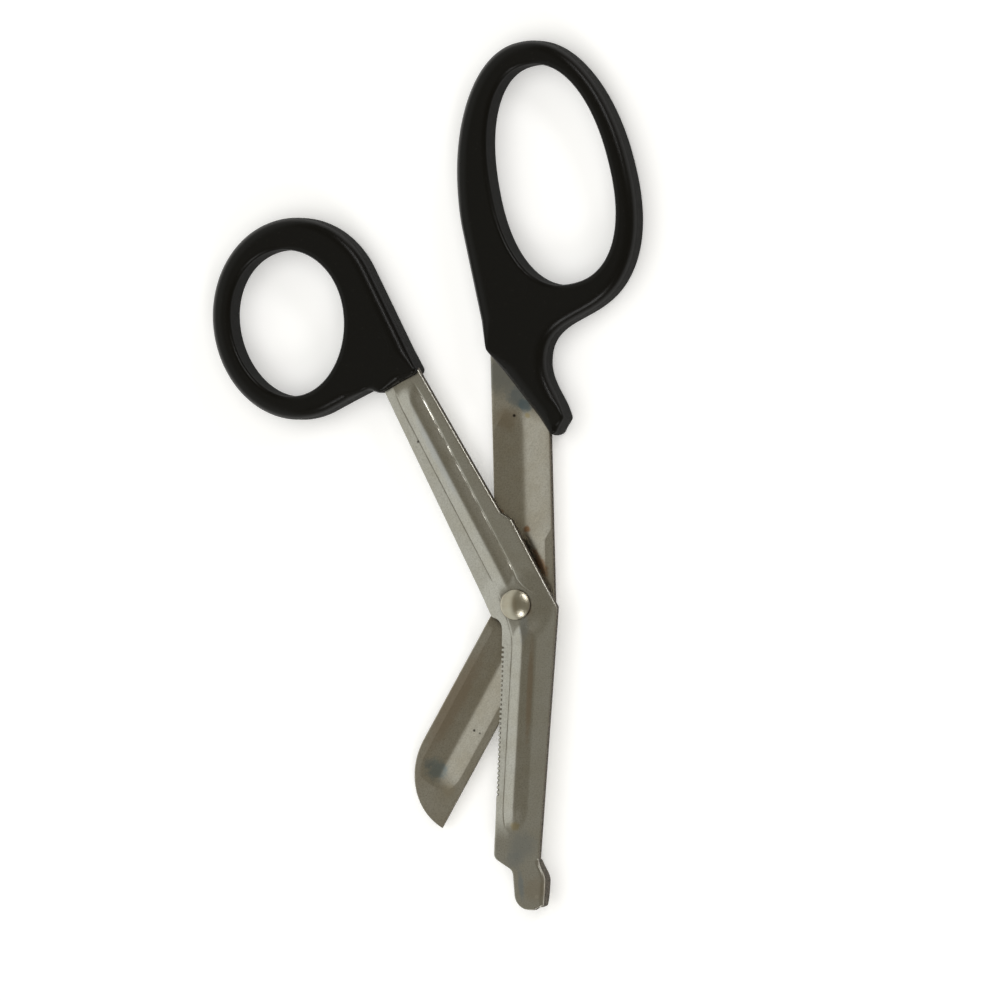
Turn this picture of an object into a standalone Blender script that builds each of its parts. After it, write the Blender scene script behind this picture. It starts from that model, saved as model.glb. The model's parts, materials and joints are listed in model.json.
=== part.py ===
"""Bandage scissors: two stamped blades, two moulded handles and one rivet.

The scissors lie on their back with the blades in the XY plane, the finger
handle towards +Y and the tips towards -Y. Everything is built round the
rivet and then moved so that the origin is under the middle of the part.
All sizes are in metres and all angles in degrees.
"""

import math

import bmesh
import bpy
import numpy as np
from mathutils import Matrix, Vector

# Stock and fits
SHEET = 0.0019
BLADE_GAP = 0.0002
HANDLE_THICKNESS = 0.008
TANG_CLEARANCE = 0.0003
RIVET_CLEARANCE = 0.00008
RIVET_PLAY = 0.00012

# Rivet
RIVET_RADIUS = 0.0022
RIVET_HEAD_RADIUS = 0.0033
RIVET_HEAD_HEIGHT = 0.0015
RIVET_RIM_SHARE = 0.15
RIVET_TAIL_RADIUS = 0.0027
RIVET_TAIL_HEIGHT = 0.0006

# Round seat pressed into both blades at the rivet
SEAT_RADIUS = 0.0036
SEAT_FOOT = 0.0020
SEAT_RISE = 0.00005

# How far the arms lean from +Y, and how far each blade bends from its shank
LOWER_LEAN = 28.5
LOWER_BEND = 31.75
UPPER_LEAN = 1.45
UPPER_BEND = 30.75

# Lower shank, across at the sleeve and across at the rivet
LOWER_MOUTH = 0.0532
LOWER_LEFT_TOP = 0.0039
LOWER_LEFT_PIVOT = 0.0061
LOWER_RIGHT_TOP = 0.0047
LOWER_RIGHT_STEP = 0.0061
LOWER_STEP_HEIGHT = 0.0188
LOWER_STEP_DROP = 0.0025
LOWER_STEP_WIDTH = 0.0014
LOWER_STEP_RADIUS = 0.0003
LOWER_LEFT_CORNER = 0.0003
LOWER_CORNER_RADIUS = 0.0009

# Lower blade, measured along the blade from the rivet
LOWER_EDGE_TOP = 0.0029
LOWER_EDGE_TIP = 0.0020
LOWER_BACK_TOP = 0.0088
LOWER_BACK_TIP = 0.0079
LOWER_EDGE_START = 0.0078
LOWER_EDGE_END = 0.0515
LOWER_BACK_END = 0.0535
LOWER_NOTCH_RADIUS = 0.0022

# Blunt nose and the guard folded back from it
NOSE_LEFT = 0.0023
NOSE_LEFT_END = 0.0034
NOSE_START = 0.0565
NOSE_END = 0.0641
NOSE_RADIUS = 0.0034
GUARD_BULGE = 0.0016
GUARD_START = 0.0532
GUARD_END = 0.0634
GUARD_LEAN = 0.0004
GUARD_BEND_RADIUS = 0.0009
GUARD_POWER = 2.6
GUARD_SWELL_RATE = 2.2

# Teeth
TOOTH_PITCH = 0.00100
TOOTH_DEPTH = 0.00036
TOOTH_HALF_WIDTH = 0.00034
TEETH_START = 0.0092
TEETH_END = 0.0405

# Ground bevel of both cutting edges
BEVEL_WIDTH = 0.0011
EDGE_LAND = 0.0003

# Upper shank and blade
UPPER_LEFT = 0.00495
UPPER_RIGHT = 0.00765
UPPER_SPINE = 0.0043
UPPER_EDGE = 0.00845
UPPER_SPINE_END = 0.0350
UPPER_TIP = 0.0493
UPPER_EDGE_START = 0.0080
UPPER_CORNER_RADIUS = 0.0030

# Pressed ridges, as half widths, heights and offsets of their middle lines
LOWER_RIDGE_HEIGHT = 0.0009
LOWER_RIDGE_TOP = 0.0525
LOWER_RIDGE_MOUTH = 0.0022
LOWER_RIDGE_SHANK = 0.0025
LOWER_RIDGE_BLADE = 0.0024
LOWER_RIDGE_SHANK_MIDDLE = 0.0003
LOWER_RIDGE_BLADE_MIDDLE = 0.0020
LOWER_RIDGE_END = 0.0470
UPPER_RIDGE_HEIGHT = 0.0009
UPPER_RIDGE_TOP = 0.0425
UPPER_RIDGE_MOUTH = 0.0026
UPPER_RIDGE_SHANK = 0.0055
UPPER_RIDGE_BLADE = 0.0046
UPPER_RIDGE_SHANK_MIDDLE = 0.00135
UPPER_RIDGE_BLADE_MIDDLE = 0.0022
UPPER_RIDGE_END = 0.0425
RIDGE_RISE_LENGTH = 0.0060
RIDGE_TAPER = 0.0040
RIDGE_CREST_SHARE = 0.25
RIDGE_SINK_SHARE = 0.12
RIDGE_TIP_SHARE = 0.35

# Tangs and the holes through which the plastic keys them
LOWER_TANG_LENGTH = 0.0130
LOWER_TANG_HALF_WIDTH = 0.0033
LOWER_TANG_MIDDLE = 0.0001
UPPER_TANG_TOP = 0.0640
UPPER_TANG_HALF_WIDTH = 0.0039
UPPER_TANG_MIDDLE = 0.0013
TANG_CORNER = 0.0015
KEY_HOLE_RADIUS = 0.0018
KEY_HOLE_FROM_END = 0.0052

# Thumb handle, in the frame of the lower shank
THUMB_HOLE_X = -0.0153
THUMB_HOLE_RISE = 0.0227
THUMB_HOLE_LENGTH = 0.0309
THUMB_HOLE_WIDTH = 0.0244
THUMB_HOLE_TILT = -21.2
THUMB_HOLE_EGG = 0.054
THUMB_RIM_ENDS = 0.0059
THUMB_RIM_SIDES = 0.0062
THUMB_RING_SHIFT_X = 0.0018
THUMB_RING_SHIFT_Y = 0.0001
THUMB_RING_TILT = -25.9
THUMB_RING_EGG = 0.017
THUMB_SLEEVE_LEFT = 0.0046
THUMB_SLEEVE_RIGHT = 0.00475
THUMB_HEEL = 0.0019

# Finger handle, in the frame of the upper shank
FINGER_HOLE_X = 0.0098
FINGER_HOLE_Y = 0.0904
FINGER_HOLE_LENGTH = 0.0469
FINGER_HOLE_WIDTH = 0.0259
FINGER_HOLE_TILT = 11.0
FINGER_HOLE_EGG = -0.065
FINGER_HOLE_SQUARE = 2.24
FINGER_RIM_ENDS = 0.00615
FINGER_RIM_SIDES = 0.0061
FINGER_RING_SHIFT_X = -0.0016
FINGER_RING_SHIFT_Y = -0.0009
FINGER_RING_TILT = 7.55
FINGER_RING_EGG = -0.132
FINGER_RING_SQUARE = 2.19
FINGER_WEB_ANGLE = -48.0
FINGER_WAIST_X = 0.0079
FINGER_WAIST_Y = 0.0507
FINGER_NUB_X = 0.0119
FINGER_NUB_Y = 0.0391
FINGER_MOUTH_LEFT_X = -0.0050
FINGER_MOUTH_LEFT_Y = 0.0539
FINGER_MOUTH_RIGHT_X = 0.0093
FINGER_MOUTH_RIGHT_Y = 0.0349
FINGER_NUB_SHARE = 0.1
FINGER_WEB_UP_SHARE = 0.42
FINGER_WEB_RING_SHARE = 0.5
FINGER_FLARE_UP_SHARE = 0.3
FINGER_FLARE_NUB_SHARE = 0.25

# Rounded edges of the moulded handles
HANDLE_FILLET = 0.0010
HOLE_FILLET = 0.0008
SLEEVE_RADIUS = 0.0011
HEEL_RADIUS = 0.0014

# Fineness of curves, in steps or degrees
OVAL_STEPS = 80
ROUND_STEPS = 48
FILLET_STEPS = 3
ROOF_STEPS = 3
RIDGE_END_STEPS = 4
GUARD_STEPS = 14
TIP_STEPS = 14
WEB_STEPS = 12
FLARE_STEPS = 5
DOME_STEPS = 7
TAIL_STEPS = 4
ARC_STEP = 15.0
CREASE_ANGLE = 35.0

# How far cutting tools run past what they cut, and how close points merge
MARGIN = 0.001
MERGE = 0.0000001


def turn(point, degrees):
    """Turn a point of the plane about the rivet."""
    angle = math.radians(degrees)
    x, y = point
    return (
        x * math.cos(angle) - y * math.sin(angle),
        x * math.sin(angle) + y * math.cos(angle),
    )


def on_blade(across, down, bend):
    """Give the place of a point of a bent blade in its shank's frame."""
    return turn((across, -down), -bend)


def meet(first, first_way, second, second_way):
    """Find where two lines of the plane cross."""
    matrix = np.array([first_way, (-second_way[0], -second_way[1])]).T
    gap = np.array(second) - np.array(first)
    along = np.linalg.solve(matrix, gap)[0]
    return (first[0] + along * first_way[0], first[1] + along * first_way[1])


def rounded(corners):
    """Turn a list of (point, radius) corners into a closed outline with arcs."""
    outline = []
    count = len(corners)
    for index, (point, radius) in enumerate(corners):
        here = Vector(point)
        if radius == 0:
            outline.append(tuple(here))
            continue
        back = (Vector(corners[index - 1][0]) - here).normalized()
        ahead = (Vector(corners[(index + 1) % count][0]) - here).normalized()
        half = back.angle(ahead) / 2
        reach = radius / math.tan(half)
        centre = here + (back + ahead).normalized() * (radius / math.sin(half))
        start = here + back * reach - centre
        sweep = start.angle_signed(here + ahead * reach - centre)
        steps = max(2, math.ceil(abs(math.degrees(sweep)) / ARC_STEP))
        for step in range(steps + 1):
            turned = Matrix.Rotation(-sweep * step / steps, 2) @ start
            outline.append(tuple(centre + turned))
    return outline


def oval(middle, half_length, half_width, tilt, egg=0.0, square=2.0):
    """Give the points of an egg-shaped oval, counter-clockwise from its right."""
    points = []
    for step in range(OVAL_STEPS):
        angle = 2 * math.pi * step / OVAL_STEPS
        cos, sin = math.cos(angle), math.sin(angle)
        up = math.copysign(abs(sin) ** (2 / square), sin)
        across = math.copysign(abs(cos) ** (2 / square), cos) * (1 + egg * up)
        x, y = turn((half_width * across, half_length * up), tilt)
        points.append((middle[0] + x, middle[1] + y))
    return points


def tangent_index(points, corner, side):
    """Find the point of an oval that a straight side from a corner touches.

    Side is +1 where the oval lies to the left of the side, seen from the
    corner, and -1 where it lies to the right.
    """
    middle = Vector(np.mean(points, axis=0)) - Vector(corner)
    turns = [side * middle.angle_signed(Vector(p) - Vector(corner)) for p in points]
    return int(np.argmax(turns))


def between(points, first, last):
    """Give the points of a closed outline from one index round to another."""
    count = (last - first) % len(points) + 1
    return [points[(first + step) % len(points)] for step in range(count)]


def bezier(start, start_handle, end_handle, end, steps):
    """Give the inner points of a cubic curve between two points."""
    a, b, c, d = (Vector(p) for p in (start, start_handle, end_handle, end))
    points = []
    for step in range(1, steps):
        t = step / steps
        s = 1 - t
        point = a * s**3 + b * 3 * s * s * t + c * 3 * s * t * t + d * t**3
        points.append(tuple(point))
    return points


def inset(outline, distance):
    """Move a counter-clockwise outline inwards by a distance."""
    if distance == 0:
        return list(outline)
    moved = []
    count = len(outline)
    for index, point in enumerate(outline):
        here = Vector(point)
        back = (here - Vector(outline[index - 1])).normalized()
        ahead = (Vector(outline[(index + 1) % count]) - here).normalized()
        way = (back + ahead).normalized()
        inwards = Vector((-way.y, way.x))
        cosine = max(0.5, inwards.dot(Vector((-back.y, back.x))))
        moved.append(tuple(here + inwards * (distance / cosine)))
    return moved


def counter_clockwise(outline):
    """Give an outline with its points in counter-clockwise order."""
    points = np.array(outline)
    after = np.roll(points, -1, axis=0)
    area = np.sum(points[:, 0] * after[:, 1] - after[:, 0] * points[:, 1])
    return list(outline) if area > 0 else list(reversed(outline))


def new_object(name, mesh_data, parent=None, material=None):
    """Link a mesh as an object under its parent."""
    mesh = bpy.data.meshes.new(name)
    mesh_data.to_mesh(mesh)
    mesh_data.free()
    obj = bpy.data.objects.new(name, mesh)
    bpy.context.collection.objects.link(obj)
    obj.parent = parent
    if material:
        obj.data.materials.append(material)
    return obj


def loft(name, loops, parent=None, material=None):
    """Join loops of equal length into one closed body with a face on each end."""
    shape = bmesh.new()
    rings = [[shape.verts.new(point) for point in loop] for loop in loops]
    for lower, upper in zip(rings, rings[1:]):
        for index in range(len(lower)):
            after = (index + 1) % len(lower)
            shape.faces.new((lower[index], lower[after], upper[after], upper[index]))
    shape.faces.new(tuple(reversed(rings[0])))
    shape.faces.new(tuple(rings[-1]))
    bmesh.ops.recalc_face_normals(shape, faces=shape.faces)
    return new_object(name, shape, parent, material)


def plate(name, outline, levels, parent=None, material=None):
    """Stack one outline at several (height, inset) levels into a solid."""
    ordered = counter_clockwise(outline)
    loops = []
    for height, distance in levels:
        loops.append([(x, y, height) for x, y in inset(ordered, distance)])
    return loft(name, loops, parent, material)


def revolve(name, profile, parent=None, material=None):
    """Spin a profile of (radius, height) points about the rivet's axis."""
    shape = bmesh.new()
    verts = [shape.verts.new((radius, 0, height)) for radius, height in profile]
    edges = [shape.edges.new(pair) for pair in zip(verts, verts[1:])]
    bmesh.ops.spin(
        shape,
        geom=verts + edges,
        axis=(0, 0, 1),
        cent=(0, 0, 0),
        angle=2 * math.pi,
        steps=ROUND_STEPS,
        use_merge=True,
    )
    bmesh.ops.remove_doubles(shape, verts=shape.verts, dist=MERGE)
    bmesh.ops.recalc_face_normals(shape, faces=shape.faces)
    return new_object(name, shape, parent, material)


def combine(target, operation, tool):
    """Add a Boolean with a hidden tool to an object."""
    tool.hide_render = True
    tool.hide_set(True)
    tool.display_type = "WIRE"
    modifier = target.modifiers.new(tool.name, "BOOLEAN")
    modifier.operation = operation
    modifier.solver = "EXACT"
    modifier.object = tool


def steel(name, colour, roughness):
    """Make a metal material."""
    return finish(name, colour, roughness, 1.0)


def finish(name, colour, roughness, metallic):
    """Make a Principled material."""
    material = bpy.data.materials.new(name)
    material.use_nodes = True
    shader = material.node_tree.nodes["Principled BSDF"]
    shader.inputs["Base Color"].default_value = (*colour, 1.0)
    shader.inputs["Roughness"].default_value = roughness
    shader.inputs["Metallic"].default_value = metallic
    return material


def empty(name, parent=None, lean=0.0):
    """Add an empty at the rivet, turned by an arm's lean."""
    guide = bpy.data.objects.new(name, None)
    guide.rotation_euler.z = math.radians(lean)
    guide.parent = parent
    bpy.context.collection.objects.link(guide)
    return guide


def sheet_face(side, depth=0.0):
    """Give a height in the blade's sheet, counted outwards from its inner face."""
    return side * (BLADE_GAP / 2 + depth)


def roof(across):
    """Give the height of a ridge of height 1, with a rounded crest, across it."""
    rounding = RIDGE_CREST_SHARE
    top = math.sqrt(1 + rounding**2) - rounding
    return 1 - (math.sqrt(across**2 + rounding**2) - rounding) / top


def ridge(name, stations, height, side, depth, parent):
    """Loft a ridge bar along stations of (point, normal, half width, strength).

    Depth is the level, in the sheet, of the surface that the ridge rises from.
    """
    loops = []
    for point, normal, half_width, strength in stations:
        overrun = 1 + MARGIN / 4 / half_width
        shares = [step / ROOF_STEPS for step in range(-ROOF_STEPS, ROOF_STEPS + 1)]
        section = []
        for across in (-overrun, *shares, overrun):
            rise = height * strength * roof(across)
            rise -= height * (1 - strength) * RIDGE_SINK_SHARE
            section.append((across * half_width, depth + rise))
        section.append((overrun * half_width, depth - SHEET / 2))
        section.append((-overrun * half_width, depth - SHEET / 2))
        loop = []
        for across, level in section:
            x = point[0] + normal[0] * across
            y = point[1] + normal[1] * across
            loop.append((x, y, sheet_face(side, level)))
        loops.append(loop)
    return loft(name, loops, parent)


def ridge_stations(top, mouth_half, shank_middle, shank_half, bend, blade_middle, blade_half, end):
    """Lay the stations of a ridge down a shank, round the bend and down a blade.

    Mouth half is the half width at the top, where the ridge starts to rise.
    """
    shank_way = (0.0, 1.0)
    blade_way = turn(shank_way, -bend)
    blade_start = on_blade(blade_middle, 0, bend)
    corner = meet((shank_middle, 0), shank_way, blade_start, blade_way)
    reach = math.hypot(corner[0] - blade_start[0], corner[1] - blade_start[1])
    blade_normal = turn((1.0, 0.0), -bend)
    bisector = turn((1.0, 0.0), -bend / 2)
    widening = 1 / math.cos(math.radians(bend / 2))
    stations = []
    quarter = [math.radians(90 * step / RIDGE_END_STEPS) for step in range(RIDGE_END_STEPS + 1)]
    ends = [(math.cos(angle), math.sin(angle)) for angle in quarter]
    for step in range(RIDGE_END_STEPS + 1):
        share = step / RIDGE_END_STEPS
        point = (shank_middle, top - RIDGE_RISE_LENGTH * share)
        strength = math.sin(math.pi / 2 * share) ** 2
        half = mouth_half + (shank_half - mouth_half) * share
        stations.append((point, (1.0, 0.0), half, strength))
    half = (shank_half + blade_half) / 2 * widening
    stations.append((corner, bisector, half, 1.0))
    first_blade = max(reach, 0) + RIDGE_TAPER / 2
    stations.append((on_blade(blade_middle, first_blade, bend), blade_normal, blade_half, 1.0))
    for along, strength in reversed(ends):
        half = blade_half * (RIDGE_TIP_SHARE + (1 - RIDGE_TIP_SHARE) * strength)
        down = end - RIDGE_TAPER * (1 - along)
        stations.append((on_blade(blade_middle, down, bend), blade_normal, half, strength))
    return stations


def press_ridge(blade, stations, height, side, parent):
    """Press a ridge and the round rivet seat outwards through the sheet."""
    seat_height = height + SEAT_RISE
    for name, operation, depth in (("raised", "UNION", SHEET), ("hollow", "DIFFERENCE", 0.0)):
        bar = ridge(f"{blade.name}_{name}_ridge", stations, height, side, depth, parent)
        combine(blade, operation, bar)
        levels = (
            (SEAT_RADIUS + SEAT_FOOT * (1 + SHEET / 2 / seat_height), depth - SHEET / 2),
            (SEAT_RADIUS, depth + seat_height),
        )
        circle = [turn((1.0, 0.0), 360 * step / ROUND_STEPS) for step in range(ROUND_STEPS)]
        loops = []
        for radius, level in levels:
            loops.append([(x * radius, y * radius, sheet_face(side, level)) for x, y in circle])
        seat = loft(f"{blade.name}_{name}_seat", loops, parent)
        combine(blade, operation, seat)


def drill(blade, name, centre, radius, parent):
    """Cut a round hole through the sheet."""
    circle = []
    for step in range(ROUND_STEPS):
        x, y = turn((radius, 0.0), 360 * step / ROUND_STEPS)
        circle.append((centre[0] + x, centre[1] + y))
    reach = HANDLE_THICKNESS / 2
    drill_bit = plate(name, circle, ((-reach, 0), (reach, 0)), parent)
    combine(blade, "DIFFERENCE", drill_bit)


def bevel(blade, name, bend, start, end, outward, side, parent):
    """Grind a cutting edge from its outer face.

    Start and end are (across, down) places of the edge on the blade, and
    outward is the sign of the way across that leads off the blade.
    """
    section = (
        (0.0, EDGE_LAND),
        (-BEVEL_WIDTH, SHEET),
        (-BEVEL_WIDTH, SHEET + MARGIN),
        (MARGIN, SHEET + MARGIN),
        (MARGIN, EDGE_LAND - MARGIN * (SHEET - EDGE_LAND) / BEVEL_WIDTH),
    )
    loops = []
    for across, down in (start, end):
        loop = []
        for off, level in section:
            x, y = on_blade(across + outward * off, down, bend)
            loop.append((x, y, sheet_face(side, level)))
        loops.append(loop)
    combine(blade, "DIFFERENCE", loft(name, loops, parent))


def lower_edge(down):
    """Give how far the toothed edge lies across the lower blade."""
    share = (down - LOWER_EDGE_START) / (LOWER_EDGE_END - LOWER_EDGE_START)
    return -(LOWER_EDGE_TOP + (LOWER_EDGE_TIP - LOWER_EDGE_TOP) * share)


def cut_teeth(blade, side, parent):
    """Cut the row of small notches along the lower blade's edge."""
    shape = bmesh.new()
    count = int((TEETH_END - TEETH_START) / TOOTH_PITCH) + 1
    low, high = sorted((sheet_face(side, -MARGIN), sheet_face(side, SHEET + MARGIN)))
    for number in range(count):
        down = TEETH_START + number * TOOTH_PITCH
        flare = 1 + MARGIN / 2 / TOOTH_DEPTH
        edge = lower_edge(down)
        corners = (
            (edge + TOOTH_DEPTH, down),
            (edge - MARGIN / 2, down + TOOTH_HALF_WIDTH * flare),
            (edge - MARGIN / 2, down - TOOTH_HALF_WIDTH * flare),
        )
        rings = []
        for height in (low, high):
            ring = [shape.verts.new((*on_blade(x, y, LOWER_BEND), height)) for x, y in corners]
            rings.append(ring)
        for index in range(3):
            after = (index + 1) % 3
            shape.faces.new((rings[0][index], rings[0][after], rings[1][after], rings[1][index]))
        shape.faces.new(tuple(reversed(rings[0])))
        shape.faces.new(tuple(rings[1]))
    bmesh.ops.recalc_face_normals(shape, faces=shape.faces)
    combine(blade, "DIFFERENCE", new_object("tooth_comb", shape, parent))


def lower_blade_outline():
    """Outline the lower blade from its tang to its blunt nose."""
    mouth = LOWER_MOUTH - TANG_CLEARANCE
    tang_left = LOWER_TANG_MIDDLE - LOWER_TANG_HALF_WIDTH
    tang_right = LOWER_TANG_MIDDLE + LOWER_TANG_HALF_WIDTH
    tang_top = LOWER_MOUTH + LOWER_TANG_LENGTH
    step_foot = LOWER_STEP_HEIGHT - LOWER_STEP_DROP
    step_side = LOWER_RIGHT_STEP + LOWER_STEP_WIDTH

    def at(across, down):
        return on_blade(across, down, LOWER_BEND)

    back_way = np.subtract(at(LOWER_BACK_TIP, LOWER_BACK_END), at(LOWER_BACK_TOP, 0))
    back_corner = meet((step_side, 0), (0.0, 1.0), at(LOWER_BACK_TOP, 0), back_way)
    nose_right = LOWER_BACK_TIP + GUARD_BULGE - GUARD_BEND_RADIUS
    return rounded(
        [
            ((tang_left, tang_top), TANG_CORNER),
            ((tang_left, mouth), 0),
            ((-LOWER_LEFT_TOP, mouth), 0),
            ((-LOWER_LEFT_PIVOT, LOWER_LEFT_CORNER), LOWER_CORNER_RADIUS),
            (at(-LOWER_EDGE_TOP, LOWER_EDGE_START - 2 * LOWER_NOTCH_RADIUS), LOWER_NOTCH_RADIUS),
            (at(-LOWER_EDGE_TOP, LOWER_EDGE_START), 0),
            (at(-LOWER_EDGE_TIP, LOWER_EDGE_END), NOSE_RADIUS / 2),
            (at(NOSE_LEFT, NOSE_START), NOSE_RADIUS / 2),
            (at(NOSE_LEFT_END, NOSE_END), NOSE_RADIUS),
            (at(nose_right, NOSE_END), NOSE_RADIUS / 2),
            (at(nose_right, NOSE_START), NOSE_RADIUS),
            (at(LOWER_BACK_TIP, LOWER_BACK_END), NOSE_RADIUS / 2),
            (back_corner, LOWER_CORNER_RADIUS),
            ((step_side, step_foot), LOWER_STEP_RADIUS),
            ((LOWER_RIGHT_STEP, LOWER_STEP_HEIGHT), LOWER_STEP_RADIUS),
            ((LOWER_RIGHT_TOP, mouth), 0),
            ((tang_right, mouth), 0),
            ((tang_right, tang_top), TANG_CORNER),
        ]
    )


def fold_guard(blade, side, parent):
    """Fold the nose's outer edge back into the smooth guard that slides on skin."""
    depth = HANDLE_THICKNESS / 2 + BLADE_GAP / 2 + SHEET
    loops = []
    for step in range(GUARD_STEPS + 1):
        share = step / GUARD_STEPS
        down = GUARD_START + (GUARD_END - GUARD_START) * share
        swell = math.sin(math.pi / 2 * min(1.0, GUARD_SWELL_RATE * share)) ** 2
        outer = LOWER_BACK_TIP + GUARD_BULGE * swell
        centred = abs(2 * share - 1)
        reach = SHEET + (depth - SHEET) * (1 - min(1.0, centred**GUARD_POWER)) ** (1 / GUARD_POWER)
        profile = []
        for corner in range(FILLET_STEPS + 1):
            angle = math.radians(90 * corner / FILLET_STEPS)
            off = GUARD_BEND_RADIUS * (1 - math.sin(angle))
            fall = GUARD_BEND_RADIUS * (1 - math.cos(angle))
            profile.append((outer - off, fall))
        lean = GUARD_LEAN * reach / depth
        profile.append((outer - lean, reach))
        profile.append((outer - lean - SHEET, reach))
        profile.append((outer - SHEET - GUARD_BEND_RADIUS / 2, 0.0))
        loop = []
        for across, fall in profile:
            x, y = on_blade(across, down, LOWER_BEND)
            loop.append((x, y, sheet_face(side, SHEET) - side * fall))
        loops.append(loop)
    combine(blade, "UNION", loft("guard_fold", loops, parent))


def make_lower_blade(parent):
    """Model the front blade, with its ridge, teeth, nose and guard."""
    side = 1
    levels = ((sheet_face(side), 0), (sheet_face(side, SHEET), 0))
    material = steel("lower_blade_steel", (0.42, 0.40, 0.37), 0.34)
    blade = plate("lower_blade", lower_blade_outline(), levels, parent, material)
    fold_guard(blade, side, parent)
    stations = ridge_stations(
        LOWER_RIDGE_TOP,
        LOWER_RIDGE_MOUTH,
        LOWER_RIDGE_SHANK_MIDDLE,
        LOWER_RIDGE_SHANK,
        LOWER_BEND,
        LOWER_RIDGE_BLADE_MIDDLE,
        LOWER_RIDGE_BLADE,
        LOWER_RIDGE_END,
    )
    press_ridge(blade, stations, LOWER_RIDGE_HEIGHT, side, parent)
    bevel_start = (lower_edge(LOWER_EDGE_START), LOWER_EDGE_START)
    bevel_end = (lower_edge(LOWER_EDGE_END), LOWER_EDGE_END)
    bevel(blade, "lower_bevel", LOWER_BEND, bevel_start, bevel_end, -1, side, parent)
    cut_teeth(blade, side, parent)
    drill(blade, "lower_rivet_hole", (0, 0), RIVET_RADIUS + RIVET_CLEARANCE, parent)
    drill(blade, "lower_key_hole", lower_key(), KEY_HOLE_RADIUS, parent)
    return blade


def lower_key():
    """Give the middle of the key hole in the lower tang."""
    return (LOWER_TANG_MIDDLE, LOWER_MOUTH + LOWER_TANG_LENGTH - KEY_HOLE_FROM_END)


def upper_key():
    """Give the middle of the key hole in the upper tang."""
    return (UPPER_TANG_MIDDLE, UPPER_TANG_TOP - KEY_HOLE_FROM_END)


def finger_mouth(across, gap=0.0):
    """Give the height of the slanted end of the finger handle's sleeve."""
    run = FINGER_MOUTH_RIGHT_X - FINGER_MOUTH_LEFT_X
    rise = FINGER_MOUTH_RIGHT_Y - FINGER_MOUTH_LEFT_Y
    lowered = gap * math.hypot(run, rise) / run
    return FINGER_MOUTH_LEFT_Y + rise * (across - FINGER_MOUTH_LEFT_X) / run - lowered


def upper_blade_outline():
    """Outline the upper blade from its tang to its pointed tip."""
    tang_left = UPPER_TANG_MIDDLE - UPPER_TANG_HALF_WIDTH
    tang_right = UPPER_TANG_MIDDLE + UPPER_TANG_HALF_WIDTH
    gap = TANG_CLEARANCE

    def at(across, down):
        return on_blade(across, down, UPPER_BEND)

    blade_way = turn((0.0, 1.0), -UPPER_BEND)
    left_corner = meet((-UPPER_LEFT, 0), (0.0, 1.0), at(-UPPER_SPINE, 0), blade_way)
    right_corner = meet((UPPER_RIGHT, 0), (0.0, 1.0), at(UPPER_EDGE, 0), blade_way)
    corners = [
        ((tang_left, UPPER_TANG_TOP), TANG_CORNER),
        ((tang_left, finger_mouth(tang_left, gap)), 0),
        ((-UPPER_LEFT, finger_mouth(-UPPER_LEFT, gap)), 0),
        (left_corner, UPPER_CORNER_RADIUS),
    ]
    for step in range(TIP_STEPS + 1):
        angle = math.radians(90 * step / TIP_STEPS)
        across = UPPER_EDGE - (UPPER_EDGE + UPPER_SPINE) * math.cos(angle)
        down = UPPER_SPINE_END + (UPPER_TIP - UPPER_SPINE_END) * math.sin(angle)
        corners.append((at(across, down), 0))
    corners += [
        (right_corner, UPPER_CORNER_RADIUS),
        ((UPPER_RIGHT, finger_mouth(UPPER_RIGHT, gap)), 0),
        ((tang_right, finger_mouth(tang_right, gap)), 0),
        ((tang_right, UPPER_TANG_TOP), TANG_CORNER),
    ]
    return rounded(corners)


def make_upper_blade(parent):
    """Model the rear blade, with its wide channel and rounded point."""
    side = -1
    levels = ((sheet_face(side, SHEET), 0), (sheet_face(side), 0))
    material = steel("upper_blade_steel", (0.40, 0.38, 0.35), 0.36)
    blade = plate("upper_blade", upper_blade_outline(), levels, parent, material)
    stations = ridge_stations(
        UPPER_RIDGE_TOP,
        UPPER_RIDGE_MOUTH,
        UPPER_RIDGE_SHANK_MIDDLE,
        UPPER_RIDGE_SHANK,
        UPPER_BEND,
        UPPER_RIDGE_BLADE_MIDDLE,
        UPPER_RIDGE_BLADE,
        UPPER_RIDGE_END,
    )
    press_ridge(blade, stations, UPPER_RIDGE_HEIGHT, side, parent)
    bevel_start = (UPPER_EDGE, UPPER_EDGE_START)
    bevel_end = (UPPER_EDGE, UPPER_TIP + MARGIN)
    bevel(blade, "upper_bevel", UPPER_BEND, bevel_start, bevel_end, 1, side, parent)
    drill(blade, "upper_rivet_hole", (0, 0), RIVET_RADIUS + RIVET_CLEARANCE, parent)
    drill(blade, "upper_key_hole", upper_key(), KEY_HOLE_RADIUS, parent)
    return blade


def fillet_levels(radius):
    """Give the (height, inset) levels of a handle with rounded edges."""
    half = HANDLE_THICKNESS / 2
    levels = []
    for step in range(FILLET_STEPS + 1):
        angle = math.radians(90 * step / FILLET_STEPS)
        levels.append((-half + radius * (1 - math.cos(angle)), radius * (1 - math.sin(angle))))
    return levels + [(-height, distance) for height, distance in reversed(levels)]


def cut_finger_hole(handle, outline, parent):
    """Cut an oval hole whose rims are rounded on both faces."""
    half = HANDLE_THICKNESS / 2
    levels = [(-half - MARGIN, -HOLE_FILLET)]
    for height, distance in fillet_levels(HOLE_FILLET):
        levels.append((height, -distance))
    levels.append((half + MARGIN, -HOLE_FILLET))
    cutter = plate(f"{handle.name}_hole", outline, levels, parent)
    combine(handle, "DIFFERENCE", cutter)


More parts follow.
